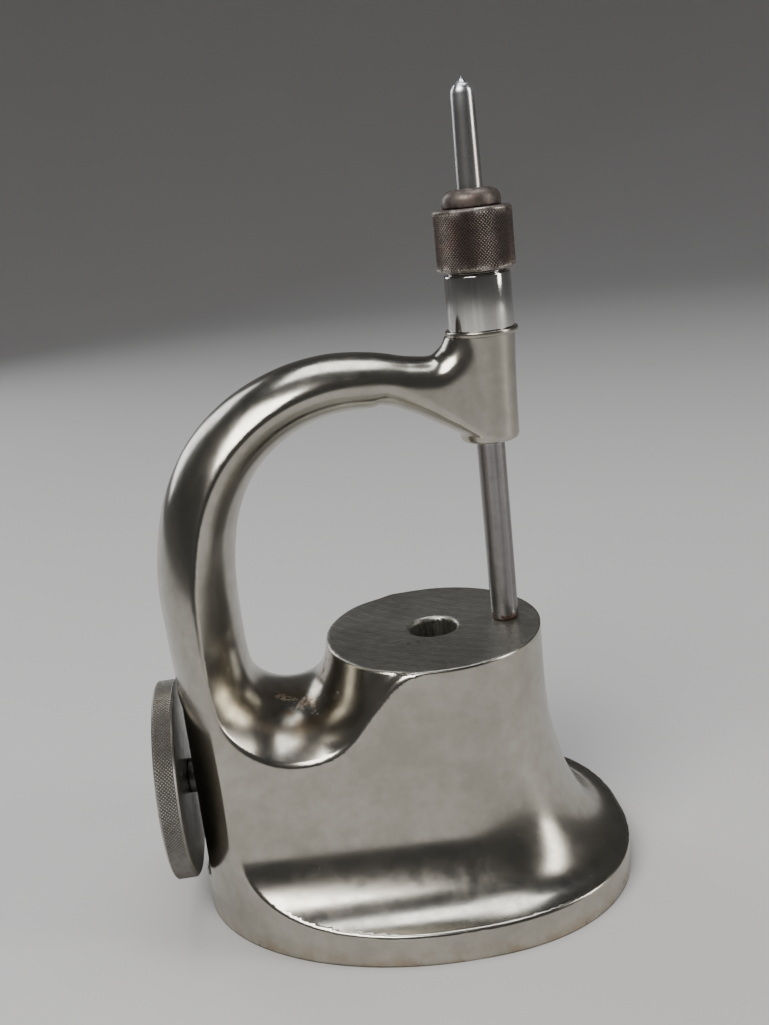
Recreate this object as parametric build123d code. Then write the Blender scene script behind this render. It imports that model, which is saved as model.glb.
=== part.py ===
from build123d import *
import math
import os

# Staking stand with a centring punch: a cast C-frame whose head carries a friction-held punch over
# a round table, and whose rear carries a thumb wheel that locks a die stem in the table's bore.
# Millimetres, +Z up, +X towards the punch. The origin is where the table bore's axis meets the
# surface that the stand rests on.

# ------------------------------------------------------------------ frame: base
base_front = 33.0          # egg-shaped outline, from its widest place to the front
base_rear = 43.1           # and from its widest place to the rear
base_half_width = 30.0
base_centre_x = -2.0       # the widest place
base_front_fullness = 0.65  # 0.55 would be an ellipse
rim_height = 5.5

# ------------------------------------------------------------------ frame: table column and rear wall
table_height = 45.3
table_radius = 18.5
wall_rear_half_width = 15.6
foot_radius = 13.4         # concave foot between wall and rim
toe_out = 12.5             # the foot in front of the column reaches out this far
toe_up = 30.0              # and starts this far above the rim
toe_overlap = 2.0          # how far the toe runs back into the column
toe_sections = 9

# ------------------------------------------------------------------ frame: saddle and arm
saddle_x = -25.2           # centre of the round bottom of the throat
saddle_z = 44.6
saddle_crease_radius = 13.2
saddle_half_width = 16.6
crown_inner = 6.2          # how far the arm's inner face bulges past its crease, at the rear
crown_outer = 6.8          # and its outer face
crown_arch = 4.8           # the same at the top of the arch
arch_half_width = 6.9
arm_end_half_width = 5.2
arch_top_z = 94.3
arch_x = -13.0             # highest place of the arch
arm_straight_z = 54.0      # where the arm's rear stops rising straight and starts to bend
arm_foot_half_width = 15.8
arm_bend_half_width = 15.0
arm_end_x = 1.75           # where the arm runs into the web
arm_end_drop = 1.5
arm_end_crown = 4.1
arm_end_degrees = 84

# ------------------------------------------------------------------ frame: head
spindle_x = 12.75
head_bottom_z = 77.2
head_top_z = 95.6
head_bottom_radius = 4.9
head_top_radius = 5.4
head_lip_radius = 5.9
head_lip_height = 0.8
web_half_width = 4.7
web_round = 2.6
web_length = 17.0          # from the punch's axis back into the arm
web_lip_reach = 5.6        # how far the web reaches back under the head's lip

# ------------------------------------------------------------------ punch and its guide
punch_radius = 2.35
punch_tip_z = 133.9
punch_taper_start_z = 99.0
punch_taper_end_z = 131.9
punch_nose_radius = 1.8
punch_edge = 0.3           # broken edge round the foot of the punch
guide_clearance = 0.04     # running fit, on the radius
small_edge = 0.3           # broken edge of the turned pieces
sleeve_setback = 0.2       # sleeve's lower end above the foot of the head
sleeve_lower_radius = 3.7
sleeve_upper_radius = 5.35
sleeve_shoulder_top_z = 104.4
thread_radius = 4.9
thread_top_z = 110.4
thread_clearance = 0.06
collet_radius = 3.5
collet_tip_radius = 3.1
collet_bottom_z = 101.6
collet_taper_z = 105.0
collet_flange_radius = 4.4
collet_flange_height = 1.0
collet_slit = 0.45
collet_slit_count = 4
collet_slit_above = 3.0    # the slits end this far above the taper
collet_taper_step = 0.4    # the collet's taper ends this far above the sleeve's, so that it closes
collet_clearance = 0.05
seat_gap = 0.35            # sleeve top to collet flange with the collet home in its taper
washer_height = 0.5
nut_radius = 6.3
nut_bottom_z = 104.9
nut_top_z = 114.5
nut_chamfer = 0.35
neck_radius = 3.3          # collet neck that passes through the top of the nut
neck_clearance = 0.12
cap_gap = 0.08             # nut top to cap
cap_radius = 4.7
cap_height = 2.8
cap_edge = 0.7             # straight edge below the dome
dome_shoulder_radius = 0.87  # a place on the dome, as shares of the cap's radius and height
dome_shoulder_height = 0.72

# ------------------------------------------------------------------ die bore and its clamp
die_bore_radius = 4.2
die_bore_edge = 0.3
clamp_z = 23.7
clamp_radius = 3.0
clamp_clearance = 0.05
spot_face_x = -43.7
spot_face_radius = 17.9
wheel_radius = 17.1
wheel_thickness = 3.7
wheel_gap = 1.8            # spot face to the wheel
wheel_seat_radius = 2.5    # screw end that the wheel sits on
wheel_knurl_chamfer = 0.5
key_radius = 0.6
key_length = 2.6
screw_overlap = 0.2        # the screw's stages run into one another this far
spigot_end_gap = 0.6
shoe_length = 12.0
shoe_setback = 0.3         # shoe face behind the bore's wall
spigot_radius = 1.6
spigot_length = 4.6
spigot_clearance = 0.1
groove_radius = 1.05
groove_width = 1.5
pin_radius = 0.6

os.makedirs("parts", exist_ok=True)


def save(shape, node):
    """Write one piece to its own file."""
    export_step(shape, "parts/" + node + ".step")


def turned(outline, axis=Axis.Z):
    """Solid of revolution from a list of (radius, height) points."""
    face = make_face(Plane.XZ * Polyline(outline, close=True))
    return revolve(face, axis=axis)


def disc(radius, low, high, x=0.0):
    """Upright cylinder between two heights."""
    return Pos(x, 0, (low + high) / 2) * Cylinder(radius, high - low)


def bar(radius, start, end):
    """Cylinder along X at the height of the clamp."""
    return Pos((start + end) / 2, 0, clamp_z) * Rot(0, 90, 0) * Cylinder(radius, end - start)


# ------------------------------------------------------------------ frame
def egg_face():
    """Plan of the base: half an ellipse at the rear and a fuller half at the front."""
    rear = EllipticalCenterArc(
        (base_centre_x, 0), base_rear, base_half_width, start_angle=90, arc_size=180
    )
    nose = base_centre_x + base_front
    handle_x = base_centre_x + base_front * base_front_fullness
    handle_y = base_half_width * base_front_fullness
    left = Bezier(
        (base_centre_x, -base_half_width), (handle_x, -base_half_width), (nose, -handle_y), (nose, 0)
    )
    right = Bezier(
        (nose, 0), (nose, handle_y), (handle_x, base_half_width), (base_centre_x, base_half_width)
    )
    return make_face(rear + left + right)


def pedestal_face(rear_x):
    """Plan of column and wall: the table's circle and its two tangents, narrower to the rear."""
    wall_end = base_rear - base_centre_x
    slant = math.hypot(wall_end, wall_rear_half_width)
    lean = math.atan2(wall_end, wall_rear_half_width) - math.acos(table_radius / slant)
    touch_x = -table_radius * math.sin(lean)
    touch_y = table_radius * math.cos(lean)
    end_y = touch_y + (rear_x - touch_x) * math.tan(lean)
    front = ThreePointArc((touch_x, -touch_y), (table_radius, 0), (touch_x, touch_y))
    sides = Polyline((touch_x, touch_y), (rear_x, end_y), (rear_x, -end_y), (touch_x, -touch_y))
    return make_face(front + sides)


def pedestal():
    """Column and wall on the rim, with the concave foot, before the throat is opened."""
    rear_x = -2 * base_rear
    slab_size = 4 * base_rear
    slab = Pos(0, 0, rim_height / 2) * Box(slab_size, slab_size, rim_height)
    body = slab + extrude(pedestal_face(rear_x), table_height)
    corner = body.edges().filter_by_position(Axis.Z, rim_height - 0.01, rim_height + 0.01)
    corner = corner.filter_by_position(Axis.Y, -1.1 * table_radius, 1.1 * table_radius)
    corner = corner.filter_by_position(Axis.X, rear_x + 1.0, 1.1 * table_radius)
    return fillet(corner, foot_radius)


def concave(z, out, up):
    """Reach of a quarter-elliptic hollow foot beyond its wall at a height."""
    left = (rim_height + up - z) / up
    if left <= 0:
        return 0.0
    return out * (1 - math.sqrt(max(1 - left ** 2, 0)))


def toe():
    """Taller, fuller foot in front of the column: half ellipses from the table's circle to the rim."""
    sections = []
    for index in range(toe_sections):
        turn = math.radians(90 * index / (toe_sections - 1))
        z = rim_height + toe_up * (1 - math.cos(turn))
        reach = table_radius + concave(z, toe_out, toe_up)
        side = table_radius + concave(z, foot_radius, foot_radius)
        half = EllipticalCenterArc((0, 0), reach, side, start_angle=-90, arc_size=180)
        back = Polyline((0, side), (-toe_overlap, side), (-toe_overlap, -side), (0, -side))
        sections.append(Pos(0, 0, z) * make_face(half + back))
    return loft(sections)


def lens_section(x, z, degrees, half_width, outer, inner):
    """Section of the arm: two shallow arcs that meet in a crease on each side."""
    angle = math.radians(degrees)
    outwards = (math.cos(angle), 0, math.sin(angle))
    along = (-math.sin(angle), 0, math.cos(angle))
    plane = Plane(origin=(x, 0, z), x_dir=outwards, z_dir=along)
    outer_arc = ThreePointArc((0, -half_width), (outer, 0), (0, half_width))
    inner_arc = ThreePointArc((0, half_width), (-inner, 0), (0, -half_width))
    return make_face(plane * (outer_arc + inner_arc))


def arm():
    """Arm from the table column round the saddle, up the rear and over the arch to the head."""
    sections = []
    for degrees in (345, 315, 270, 225):
        x = saddle_x + saddle_crease_radius * math.cos(math.radians(degrees))
        z = saddle_z + saddle_crease_radius * math.sin(math.radians(degrees))
        sections.append(lens_section(x, z, degrees, saddle_half_width, crown_inner, crown_inner))
    rear_crease_x = base_centre_x - base_rear + crown_outer
    arch_crease_z = arch_top_z - crown_arch
    reach = arch_x - rear_crease_x
    rise = arch_crease_z - arm_straight_z
    sections.append(
        lens_section(rear_crease_x, saddle_z + 1.4, 180, arm_foot_half_width, crown_outer, crown_inner)
    )
    sections.append(
        lens_section(rear_crease_x, arm_straight_z, 180, arm_bend_half_width, crown_outer, crown_inner)
    )
    for degrees in (158, 136, 113, 90):
        t = math.radians(degrees)
        x = arch_x + reach * math.cos(t)
        z = arm_straight_z + rise * math.sin(t)
        share = (180 - degrees) / 90
        half_width = arm_bend_half_width + (arch_half_width - arm_bend_half_width) * share
        outer = crown_outer + (crown_arch - crown_outer) * share
        inner = crown_inner + (crown_arch - crown_inner) * share
        lean = math.degrees(math.atan2(math.sin(t) * reach, math.cos(t) * rise))
        sections.append(lens_section(x, z, lean, half_width, outer, inner))
    end_z = arch_crease_z - arm_end_drop
    sections.append(
        lens_section(
            arm_end_x, end_z, arm_end_degrees, arm_end_half_width, arm_end_crown, crown_arch
        )
    )
    return loft(sections)


def web():
    """Flat-sided web that joins the end of the arm to the head."""
    lip_low_z = head_top_z - head_lip_height
    rear_x = spindle_x - web_length
    outline = Polyline(
        (spindle_x, lip_low_z), (spindle_x - web_lip_reach, lip_low_z - 0.1),
        (spindle_x - web_lip_reach - 1.0, lip_low_z - 2.0), (spindle_x - 9.0, arch_top_z - 2.4),
        (rear_x, arch_top_z - 1.4), (rear_x, arch_top_z - 7.6),
        (spindle_x - 9.5, arch_top_z - 12.2), (spindle_x - 4.4, head_bottom_z + 1.6),
        (spindle_x, head_bottom_z + 1.0), close=True,
    )
    face = make_face(Plane.XZ * outline)
    body = extrude(face, amount=web_half_width, both=True)
    long_edges = body.edges().filter_by(lambda e: abs(e.center().Y) > 0.9 * web_half_width)
    outer = [e for e in long_edges if rear_x + 0.5 < e.center().X < spindle_x - 0.5]
    return fillet(outer, web_round)


def head():
    """Tapered boss round the punch, with a lip at its top."""
    boss_height = head_top_z - head_bottom_z
    boss = Pos(spindle_x, 0, head_bottom_z + boss_height / 2) * Cone(
        head_bottom_radius, head_top_radius, boss_height
    )
    lip = disc(head_lip_radius, head_top_z - head_lip_height, head_top_z, spindle_x)
    return boss + lip


def shoulder_cut():
    """Wedge that takes the wall down beside the round table, from the throat to the table's edge."""
    fall = math.radians(-22)
    low_x = saddle_x + saddle_crease_radius * math.cos(fall)
    low_z = saddle_z + saddle_crease_radius * math.sin(fall)
    outline = Polyline(
        (saddle_x, saddle_z), (low_x, low_z), (0, table_height), (0, table_height + 2.0),
        (saddle_x, table_height + 2.0), close=True,
    )
    return extrude(make_face(Plane.XZ * outline), amount=2 * table_radius, both=True)


def make_frame():
    """The casting with its machined holes."""
    envelope = extrude(egg_face(), table_height + 1.0)
    throat = Pos(saddle_x, 0, saddle_z) * Rot(90, 0, 0) * Cylinder(
        saddle_crease_radius, 4 * base_half_width
    )
    body = ((pedestal() + toe()) & envelope) - throat - shoulder_cut()
    body = body + disc(table_radius, 0.0, table_height)
    body = body + arm() + web() + head()
    body = body - bar(spot_face_radius, spot_face_x - 2 * wheel_radius, spot_face_x)
    body = body - bar(clamp_radius + clamp_clearance, spot_face_x - 1.0, 0.0)
    body = body - disc(die_bore_radius, -1.0, table_height + 1.0)
    die_mouth = Pos(0, 0, table_height) * Cone(
        die_bore_radius, die_bore_radius + 2 * die_bore_edge, 2 * die_bore_edge
    )
    body = body - die_mouth
    return body - disc(sleeve_lower_radius, head_bottom_z - 1.0, head_top_z + 1.0, spindle_x)


# ------------------------------------------------------------------ punch guide on the head
def make_guide_sleeve():
    """Hardened bush: pressed into the head, seated by its shoulder, threaded for the nut on top."""
    bore = punch_radius + guide_clearance
    mouth = collet_radius + collet_clearance
    throat = collet_tip_radius + collet_clearance
    body = turned([
        (bore, head_bottom_z + sleeve_setback), (sleeve_lower_radius, head_bottom_z + sleeve_setback),
        (sleeve_lower_radius, head_top_z), (sleeve_upper_radius, head_top_z),
        (sleeve_upper_radius, sleeve_shoulder_top_z - small_edge),
        (sleeve_upper_radius - small_edge, sleeve_shoulder_top_z),
        (thread_radius, sleeve_shoulder_top_z), (thread_radius, thread_top_z - small_edge),
        (thread_radius - small_edge, thread_top_z), (mouth, thread_top_z),
        (mouth, collet_taper_z), (throat, collet_bottom_z - collet_taper_step),
        (bore, collet_bottom_z - collet_taper_step),
    ])
    return Pos(spindle_x, 0, 0) * body


def make_friction_collet():
    """Split spring collet: its slit lower fingers close on the punch in the sleeve's taper."""
    bore = punch_radius + guide_clearance
    flange_bottom = thread_top_z + seat_gap
    flange_top = flange_bottom + collet_flange_height
    neck_top = nut_top_z + cap_gap + cap_height / 2
    body = turned([
        (bore, collet_bottom_z), (collet_tip_radius, collet_bottom_z),
        (collet_radius, collet_taper_z + collet_taper_step), (collet_radius, flange_bottom),
        (collet_flange_radius, flange_bottom), (collet_flange_radius, flange_top),
        (neck_radius, flange_top), (neck_radius, neck_top), (bore, neck_top),
    ])
    slit_height = collet_taper_z + collet_slit_above - collet_bottom_z
    for index in range(collet_slit_count // 2):
        slit = Rot(0, 0, 45 + index * 90) * Pos(0, 0, collet_bottom_z + slit_height / 2 - 0.5) * Box(
            4 * collet_radius, collet_slit, slit_height + 1.0
        )
        body = body - slit
    return Pos(spindle_x, 0, 0) * body


def make_thrust_washer():
    """Ring between the collet's flange and the nut's shoulder."""
    low = thread_top_z + seat_gap + collet_flange_height
    return Pos(spindle_x, 0, 0) * turned([
        (neck_radius + neck_clearance, low), (collet_flange_radius, low),
        (collet_flange_radius, low + washer_height), (neck_radius + neck_clearance, low + washer_height),
    ])


def make_collet_nut():
    """Knurled nut: it presses the collet down into its taper, or lifts it by the cap."""
    thread = thread_radius + thread_clearance
    shoulder = thread_top_z + seat_gap + collet_flange_height + washer_height
    body = turned([
        (thread, nut_bottom_z), (nut_radius - nut_chamfer, nut_bottom_z),
        (nut_radius, nut_bottom_z + nut_chamfer), (nut_radius, nut_top_z - nut_chamfer),
        (nut_radius - nut_chamfer, nut_top_z), (neck_radius + neck_clearance, nut_top_z),
        (neck_radius + neck_clearance, shoulder), (thread, shoulder),
    ])
    return Pos(spindle_x, 0, 0) * body


def make_collet_cap():
    """Domed cap fixed on the collet's neck above the nut."""
    bore = punch_radius + guide_clearance
    low = nut_top_z + cap_gap
    seat = low + cap_height / 2
    profile = Polyline(
        (bore, low + cap_height), (bore, seat), (neck_radius, seat), (neck_radius, low),
        (cap_radius, low), (cap_radius, low + cap_edge),
    )
    dome = ThreePointArc(
        (cap_radius, low + cap_edge),
        (dome_shoulder_radius * cap_radius, low + dome_shoulder_height * cap_height),
        (bore, low + cap_height),
    )
    body = revolve(make_face(Plane.XZ * (profile + dome)), axis=Axis.Z)
    return Pos(spindle_x, 0, 0) * body


def make_centre_punch():
    """Punch with a plain shank, a long taper and a conical centring point."""
    body = turned([
        (0, table_height), (punch_radius - punch_edge, table_height),
        (punch_radius, table_height + punch_edge), (punch_radius, punch_taper_start_z),
        (punch_nose_radius, punch_taper_end_z), (0, punch_tip_z),
    ])
    return Pos(spindle_x, 0, 0) * body


# ------------------------------------------------------------------ die clamp at the rear
wheel_inner_x = spot_face_x - wheel_gap
wheel_outer_x = wheel_inner_x - wheel_thickness
shoe_face_x = -(die_bore_radius + shoe_setback)
shoe_rear_x = shoe_face_x - shoe_length
spigot_end_x = shoe_rear_x + spigot_length
groove_x = shoe_rear_x + spigot_length / 2


def make_clamp_screw():
    """Screw from the wheel to the shoe, with a grooved spigot that the shoe's pin runs in."""
    shank = bar(clamp_radius, wheel_inner_x, shoe_rear_x - screw_overlap)
    seat = bar(wheel_seat_radius, wheel_outer_x - screw_overlap, wheel_inner_x)
    spigot = bar(spigot_radius, shoe_rear_x - screw_overlap, spigot_end_x)
    ring = bar(2 * spigot_radius, groove_x - groove_width / 2, groove_x + groove_width / 2)
    core = bar(groove_radius, groove_x - groove_width / 2, groove_x + groove_width / 2)
    body = shank + seat + (spigot - (ring - core))
    return body - key_hole()


def key_hole():
    """Hole for the key pin, half in the screw's seat and half in the wheel."""
    pin = Rot(0, 90, 0) * Cylinder(key_radius, key_length)
    return Pos(wheel_outer_x + key_length / 2, 0, clamp_z + wheel_seat_radius) * pin


def make_wheel_key():
    """Pin that keys the wheel to the screw."""
    return key_hole()


def make_clamp_wheel():
    """Thumb wheel on the screw's seat; its knurled edge is drawn plain."""
    rim = bar(wheel_radius, wheel_outer_x, wheel_inner_x)
    rim = chamfer(rim.edges(), wheel_knurl_chamfer)
    return rim - bar(wheel_seat_radius, wheel_outer_x - 1.0, wheel_inner_x + 1.0) - key_hole()


def make_clamp_shoe():
    """Brass shoe with a hollow face that bears on the die stem."""
    body = bar(clamp_radius, shoe_rear_x, -die_bore_radius + 1.0)
    body = body - bar(spigot_radius + spigot_clearance, shoe_rear_x - 1.0, spigot_end_x + spigot_end_gap)
    body = body - disc(die_bore_radius + shoe_setback, 0.0, table_height)
    return body - make_shoe_pin()


def make_shoe_pin():
    """Cross pin beside the spigot's groove, so that the screw draws the shoe back."""
    offset = groove_radius + pin_radius + spigot_clearance
    length = 2 * math.sqrt(clamp_radius ** 2 - (offset + pin_radius) ** 2)
    return Pos(groove_x, offset, clamp_z) * Cylinder(pin_radius, length)


save(make_frame(), "frame")
save(make_guide_sleeve(), "guide_sleeve")
save(make_friction_collet(), "friction_collet")
save(make_thrust_washer(), "thrust_washer")
save(make_collet_nut(), "collet_nut")
save(make_collet_cap(), "collet_cap")
save(make_centre_punch(), "centre_punch")
save(make_clamp_screw(), "clamp_screw")
save(make_clamp_wheel(), "clamp_wheel")
save(make_wheel_key(), "wheel_key")
save(make_clamp_shoe(), "clamp_shoe")
save(make_shoe_pin(), "shoe_pin")
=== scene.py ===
"""Looks of a jeweller's staking stand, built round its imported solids.

The stand is a nickel-plated casting with a round table, an arm and a head. A friction-held centre
punch passes through the head, and a thumb wheel at the rear locks a die stem in the table's bore.
Sizes are millimetres in the classes and metres in the meshes.
"""

import logging
import math
from dataclasses import dataclass
from enum import Enum
from typing import Dict, List, Optional, Sequence, Tuple, Union

import bpy
import numpy as np
from mathutils import Matrix, Vector


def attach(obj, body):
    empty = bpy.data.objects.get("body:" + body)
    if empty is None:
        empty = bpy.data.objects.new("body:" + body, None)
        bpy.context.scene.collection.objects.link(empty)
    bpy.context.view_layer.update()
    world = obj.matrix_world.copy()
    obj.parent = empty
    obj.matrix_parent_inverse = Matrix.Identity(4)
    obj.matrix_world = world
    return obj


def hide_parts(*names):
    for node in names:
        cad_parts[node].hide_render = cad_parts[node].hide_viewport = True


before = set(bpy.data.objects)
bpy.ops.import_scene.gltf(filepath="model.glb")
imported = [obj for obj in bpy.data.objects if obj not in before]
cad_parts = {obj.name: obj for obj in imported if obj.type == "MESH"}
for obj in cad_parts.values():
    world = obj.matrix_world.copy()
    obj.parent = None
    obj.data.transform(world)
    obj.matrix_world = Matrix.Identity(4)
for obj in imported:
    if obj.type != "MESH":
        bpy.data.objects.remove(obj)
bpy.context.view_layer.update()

log = logging.getLogger("staking_stand")
MM = 0.001
TURN = 2.0 * math.pi

Array = np.ndarray
Colour = Tuple[float, float, float]


# ------------------------------ meshes
class Axis(Enum):
    """Axis that a turned piece is turned about."""

    UPRIGHT = "upright"
    LENGTHWISE = "lengthwise"


def add_object(name: str, mesh: bpy.types.Mesh) -> bpy.types.Object:
    """Puts a mesh into the scene as an object at the origin.

    Args:
        name: the piece's name.
        mesh: its mesh, already in place and in metres.

    Returns:
        The new object.
    """
    piece = bpy.data.objects.new(name, mesh)
    bpy.context.scene.collection.objects.link(piece)
    return piece


def mesh_from_quads(name: str, points: Array, quads: Array) -> bpy.types.Mesh:
    """Makes a mesh from points in millimetres and faces of four or three corners.

    Args:
        name: the mesh's name.
        points: array of shape (n, 3), in millimetres.
        quads: array of shape (m, 4) of point indices, anticlockwise seen from outside; a
            triangle has -1 last.

    Returns:
        The mesh, in metres.
    """
    mesh = bpy.data.meshes.new(name)
    count = len(quads)
    mesh.vertices.add(len(points))
    mesh.vertices.foreach_set("co", (points * MM).astype(np.float32).ravel())
    sizes = np.where(quads[:, 3] < 0, 3, 4).astype(np.int32)
    corners = quads.ravel()
    corners = corners[corners >= 0].astype(np.int32)
    mesh.loops.add(len(corners))
    mesh.loops.foreach_set("vertex_index", corners)
    mesh.polygons.add(count)
    starts = np.concatenate([[0], np.cumsum(sizes)[:-1]]).astype(np.int32)
    mesh.polygons.foreach_set("loop_start", starts)
    mesh.polygons.foreach_set("loop_total", sizes)
    mesh.update(calc_edges=True)
    mesh.validate()
    return mesh


def grid_quads(rows: int, columns: int, wrap_rows: bool, wrap_columns: bool) -> Array:
    """Quads of a grid of points numbered row by row.

    Args:
        rows: how many rows of points.
        columns: how many points in a row.
        wrap_rows: whether the last row joins the first.
        wrap_columns: whether each row's end joins its start.

    Returns:
        Array of shape (m, 4).
    """
    r = np.arange(rows if wrap_rows else rows - 1)
    c = np.arange(columns if wrap_columns else columns - 1)
    r0, c0 = [a.ravel() for a in np.meshgrid(r, c, indexing="ij")]
    r1 = (r0 + 1) % rows
    c1 = (c0 + 1) % columns
    return np.stack(
        [r0 * columns + c0, r1 * columns + c0, r1 * columns + c1, r0 * columns + c1], axis=1
    )


def crisp(mesh: bpy.types.Mesh, degrees: float = 32.0) -> None:
    """Shades a mesh smooth, with sharp edges where its faces meet at more than an angle."""
    mesh.shade_smooth()
    mesh.set_sharp_from_angle(angle=math.radians(degrees))


def store(mesh: bpy.types.Mesh, name: str, values: Array) -> None:
    """Keeps one number for each vertex as an attribute that a material can read."""
    attribute = mesh.attributes.new(name, "FLOAT", "POINT")
    attribute.data.foreach_set("value", np.asarray(values, np.float32).ravel())


def rounded(corners: Sequence[Tuple[float, float, float]], steps: int = 5) -> Array:
    """Outline with rounded corners.

    Each corner is replaced by a quadratic curve that starts and ends at its radius from the corner
    along the two sides, so that both sides stay tangent to it.

    Args:
        corners: (radius from the axis, height, rounding) of each corner, in order.
        steps: how many points a rounded corner gets.

    Returns:
        Array of (radius, height) points.
    """
    points: List[Array] = []
    count = len(corners)
    for index, (r, z, bend) in enumerate(corners):
        here = np.array([r, z])
        if bend <= 0.0:
            points.append(here[None])
            continue
        before = np.array(corners[index - 1][:2]) - here
        after = np.array(corners[(index + 1) % count][:2]) - here
        start = here + before / np.linalg.norm(before) * min(bend, 0.48 * np.linalg.norm(before))
        end = here + after / np.linalg.norm(after) * min(bend, 0.48 * np.linalg.norm(after))
        t = np.linspace(0.0, 1.0, steps)[:, None]
        points.append((1 - t) ** 2 * start + 2 * t * (1 - t) * here + t ** 2 * end)
    return np.concatenate(points)


@dataclass(frozen=True)
class Spindle:
    """Where a turned piece's axis is."""

    axis: Axis
    x: float = 0.0
    z: float = 0.0

    def place(self, along: Array, radius: Array, angle: Array) -> Array:
        """Points at a distance along the axis, a radius from it and an angle round it."""
        across = radius * np.cos(angle)
        beside = radius * np.sin(angle)
        if self.axis is Axis.UPRIGHT:
            return np.stack([self.x + across, beside, self.z + along], axis=-1)
        return np.stack([self.x + along, across, self.z + beside], axis=-1)


def turned(name: str, outline: Array, spindle: Spindle, segments: int = 160) -> bpy.types.Mesh:
    """Closed ring of a closed outline carried round an axis.

    The point at parameter (u, v) has the outline's radius and height at v and the angle 2 pi u.

    Args:
        name: the mesh's name.
        outline: (radius, height) points, anticlockwise with the radius to the right.
        spindle: where the axis is.
        segments: how many steps go round.

    Returns:
        The mesh, with outward faces.
    """
    angle = np.linspace(0.0, TURN, segments, endpoint=False)[:, None]
    radius = np.broadcast_to(outline[None, :, 0], (segments, len(outline)))
    height = np.broadcast_to(outline[None, :, 1], (segments, len(outline)))
    points = spindle.place(height, radius, angle).reshape(-1, 3)
    return mesh_from_quads(
        name, points, facing_out(points, grid_quads(segments, len(outline), True, True))
    )


def turned_solid(
    name: str, outline: Array, spindle: Spindle, segments: int = 160
) -> bpy.types.Mesh:
    """Solid whose outline starts and ends on the axis, each end closed with a fan."""
    inner = outline[1:-1]
    angle = np.linspace(0.0, TURN, segments, endpoint=False)[:, None]
    radius = np.broadcast_to(inner[None, :, 0], (segments, len(inner)))
    height = np.broadcast_to(inner[None, :, 1], (segments, len(inner)))
    skin = spindle.place(height, radius, angle).reshape(-1, 3)
    ends = spindle.place(outline[[0, -1], 1], np.zeros(2), np.zeros(2))
    points = np.concatenate([skin, ends])
    quads = grid_quads(segments, len(inner), True, False)
    ring = np.arange(segments) * len(inner)
    following = np.roll(ring, -1)
    none = np.full(segments, -1)
    last = len(inner) - 1
    low = np.stack([np.full(segments, len(skin)), following, ring, none], axis=1)
    tip = np.full(segments, len(skin) + 1)
    high = np.stack([tip, ring + last, following + last, none], axis=1)
    return mesh_from_quads(name, points, facing_out(points, np.concatenate([quads, low, high])))


def facing_out(points: Array, quads: Array) -> Array:
    """Faces of a closed skin turned so that the volume they hold is positive."""
    a, b, c = (points[quads[:, k]] for k in range(3))
    d = points[np.where(quads[:, 3] < 0, quads[:, 2], quads[:, 3])]
    volume = np.einsum("ij,ij->i", a, np.cross(b, c)) + np.einsum("ij,ij->i", a, np.cross(c, d))
    if volume.sum() >= 0.0:
        return quads
    turned_round = quads[:, ::-1].copy()
    three = quads[:, 3] < 0
    turned_round[three] = np.column_stack([quads[three][:, 2::-1], quads[three][:, 3]])
    return turned_round


# ------------------------------ the casting as a field
def smooth_max(a: Array, b: Array, reach: Union[float, Array]) -> Array:
    """Larger of two fields, with the crease between them rounded over a short reach."""
    h = np.clip(0.5 + 0.5 * (a - b) / reach, 0.0, 1.0)
    return b + (a - b) * h + reach * h * (1.0 - h)


def smooth_min(a: Array, b: Array, reach: Union[float, Array]) -> Array:
    """Smaller of two fields, with a hollow blend over a reach."""
    return -smooth_max(-a, -b, reach)


def round_union(a: Array, b: Array, radius: float) -> Array:
    """Union of two fields with a circular hollow fillet between them."""
    near_a = np.maximum(radius - a, 0.0)
    near_b = np.maximum(radius - b, 0.0)
    return np.maximum(radius, np.minimum(a, b)) - np.hypot(near_a, near_b)


def spline(points: Sequence[Tuple[float, ...]], steps: int = 24) -> Array:
    """Smooth curve through its points (Catmull-Rom), all of whose columns are carried along.

    Args:
        points: rows of numbers; the first two are the place.
        steps: how many short runs replace each span.

    Returns:
        Array of rows along the curve.
    """
    p = np.asarray(points, float)
    p = np.concatenate([2 * p[:1] - p[1:2], p, 2 * p[-1:] - p[-2:-1]])
    t = np.linspace(0.0, 1.0, steps, endpoint=False)[None, :, None]
    a, b, c, d = p[:-3, None], p[1:-2, None], p[2:-1, None], p[3:, None]
    bend, twist = 2 * a - 5 * b + 4 * c - d, 3 * b - a - 3 * c + d
    curve = 0.5 * (2 * b + (c - a) * t + bend * t ** 2 + twist * t ** 3)
    return np.concatenate([curve.reshape(-1, p.shape[1]), p[-2:-1]])


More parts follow.
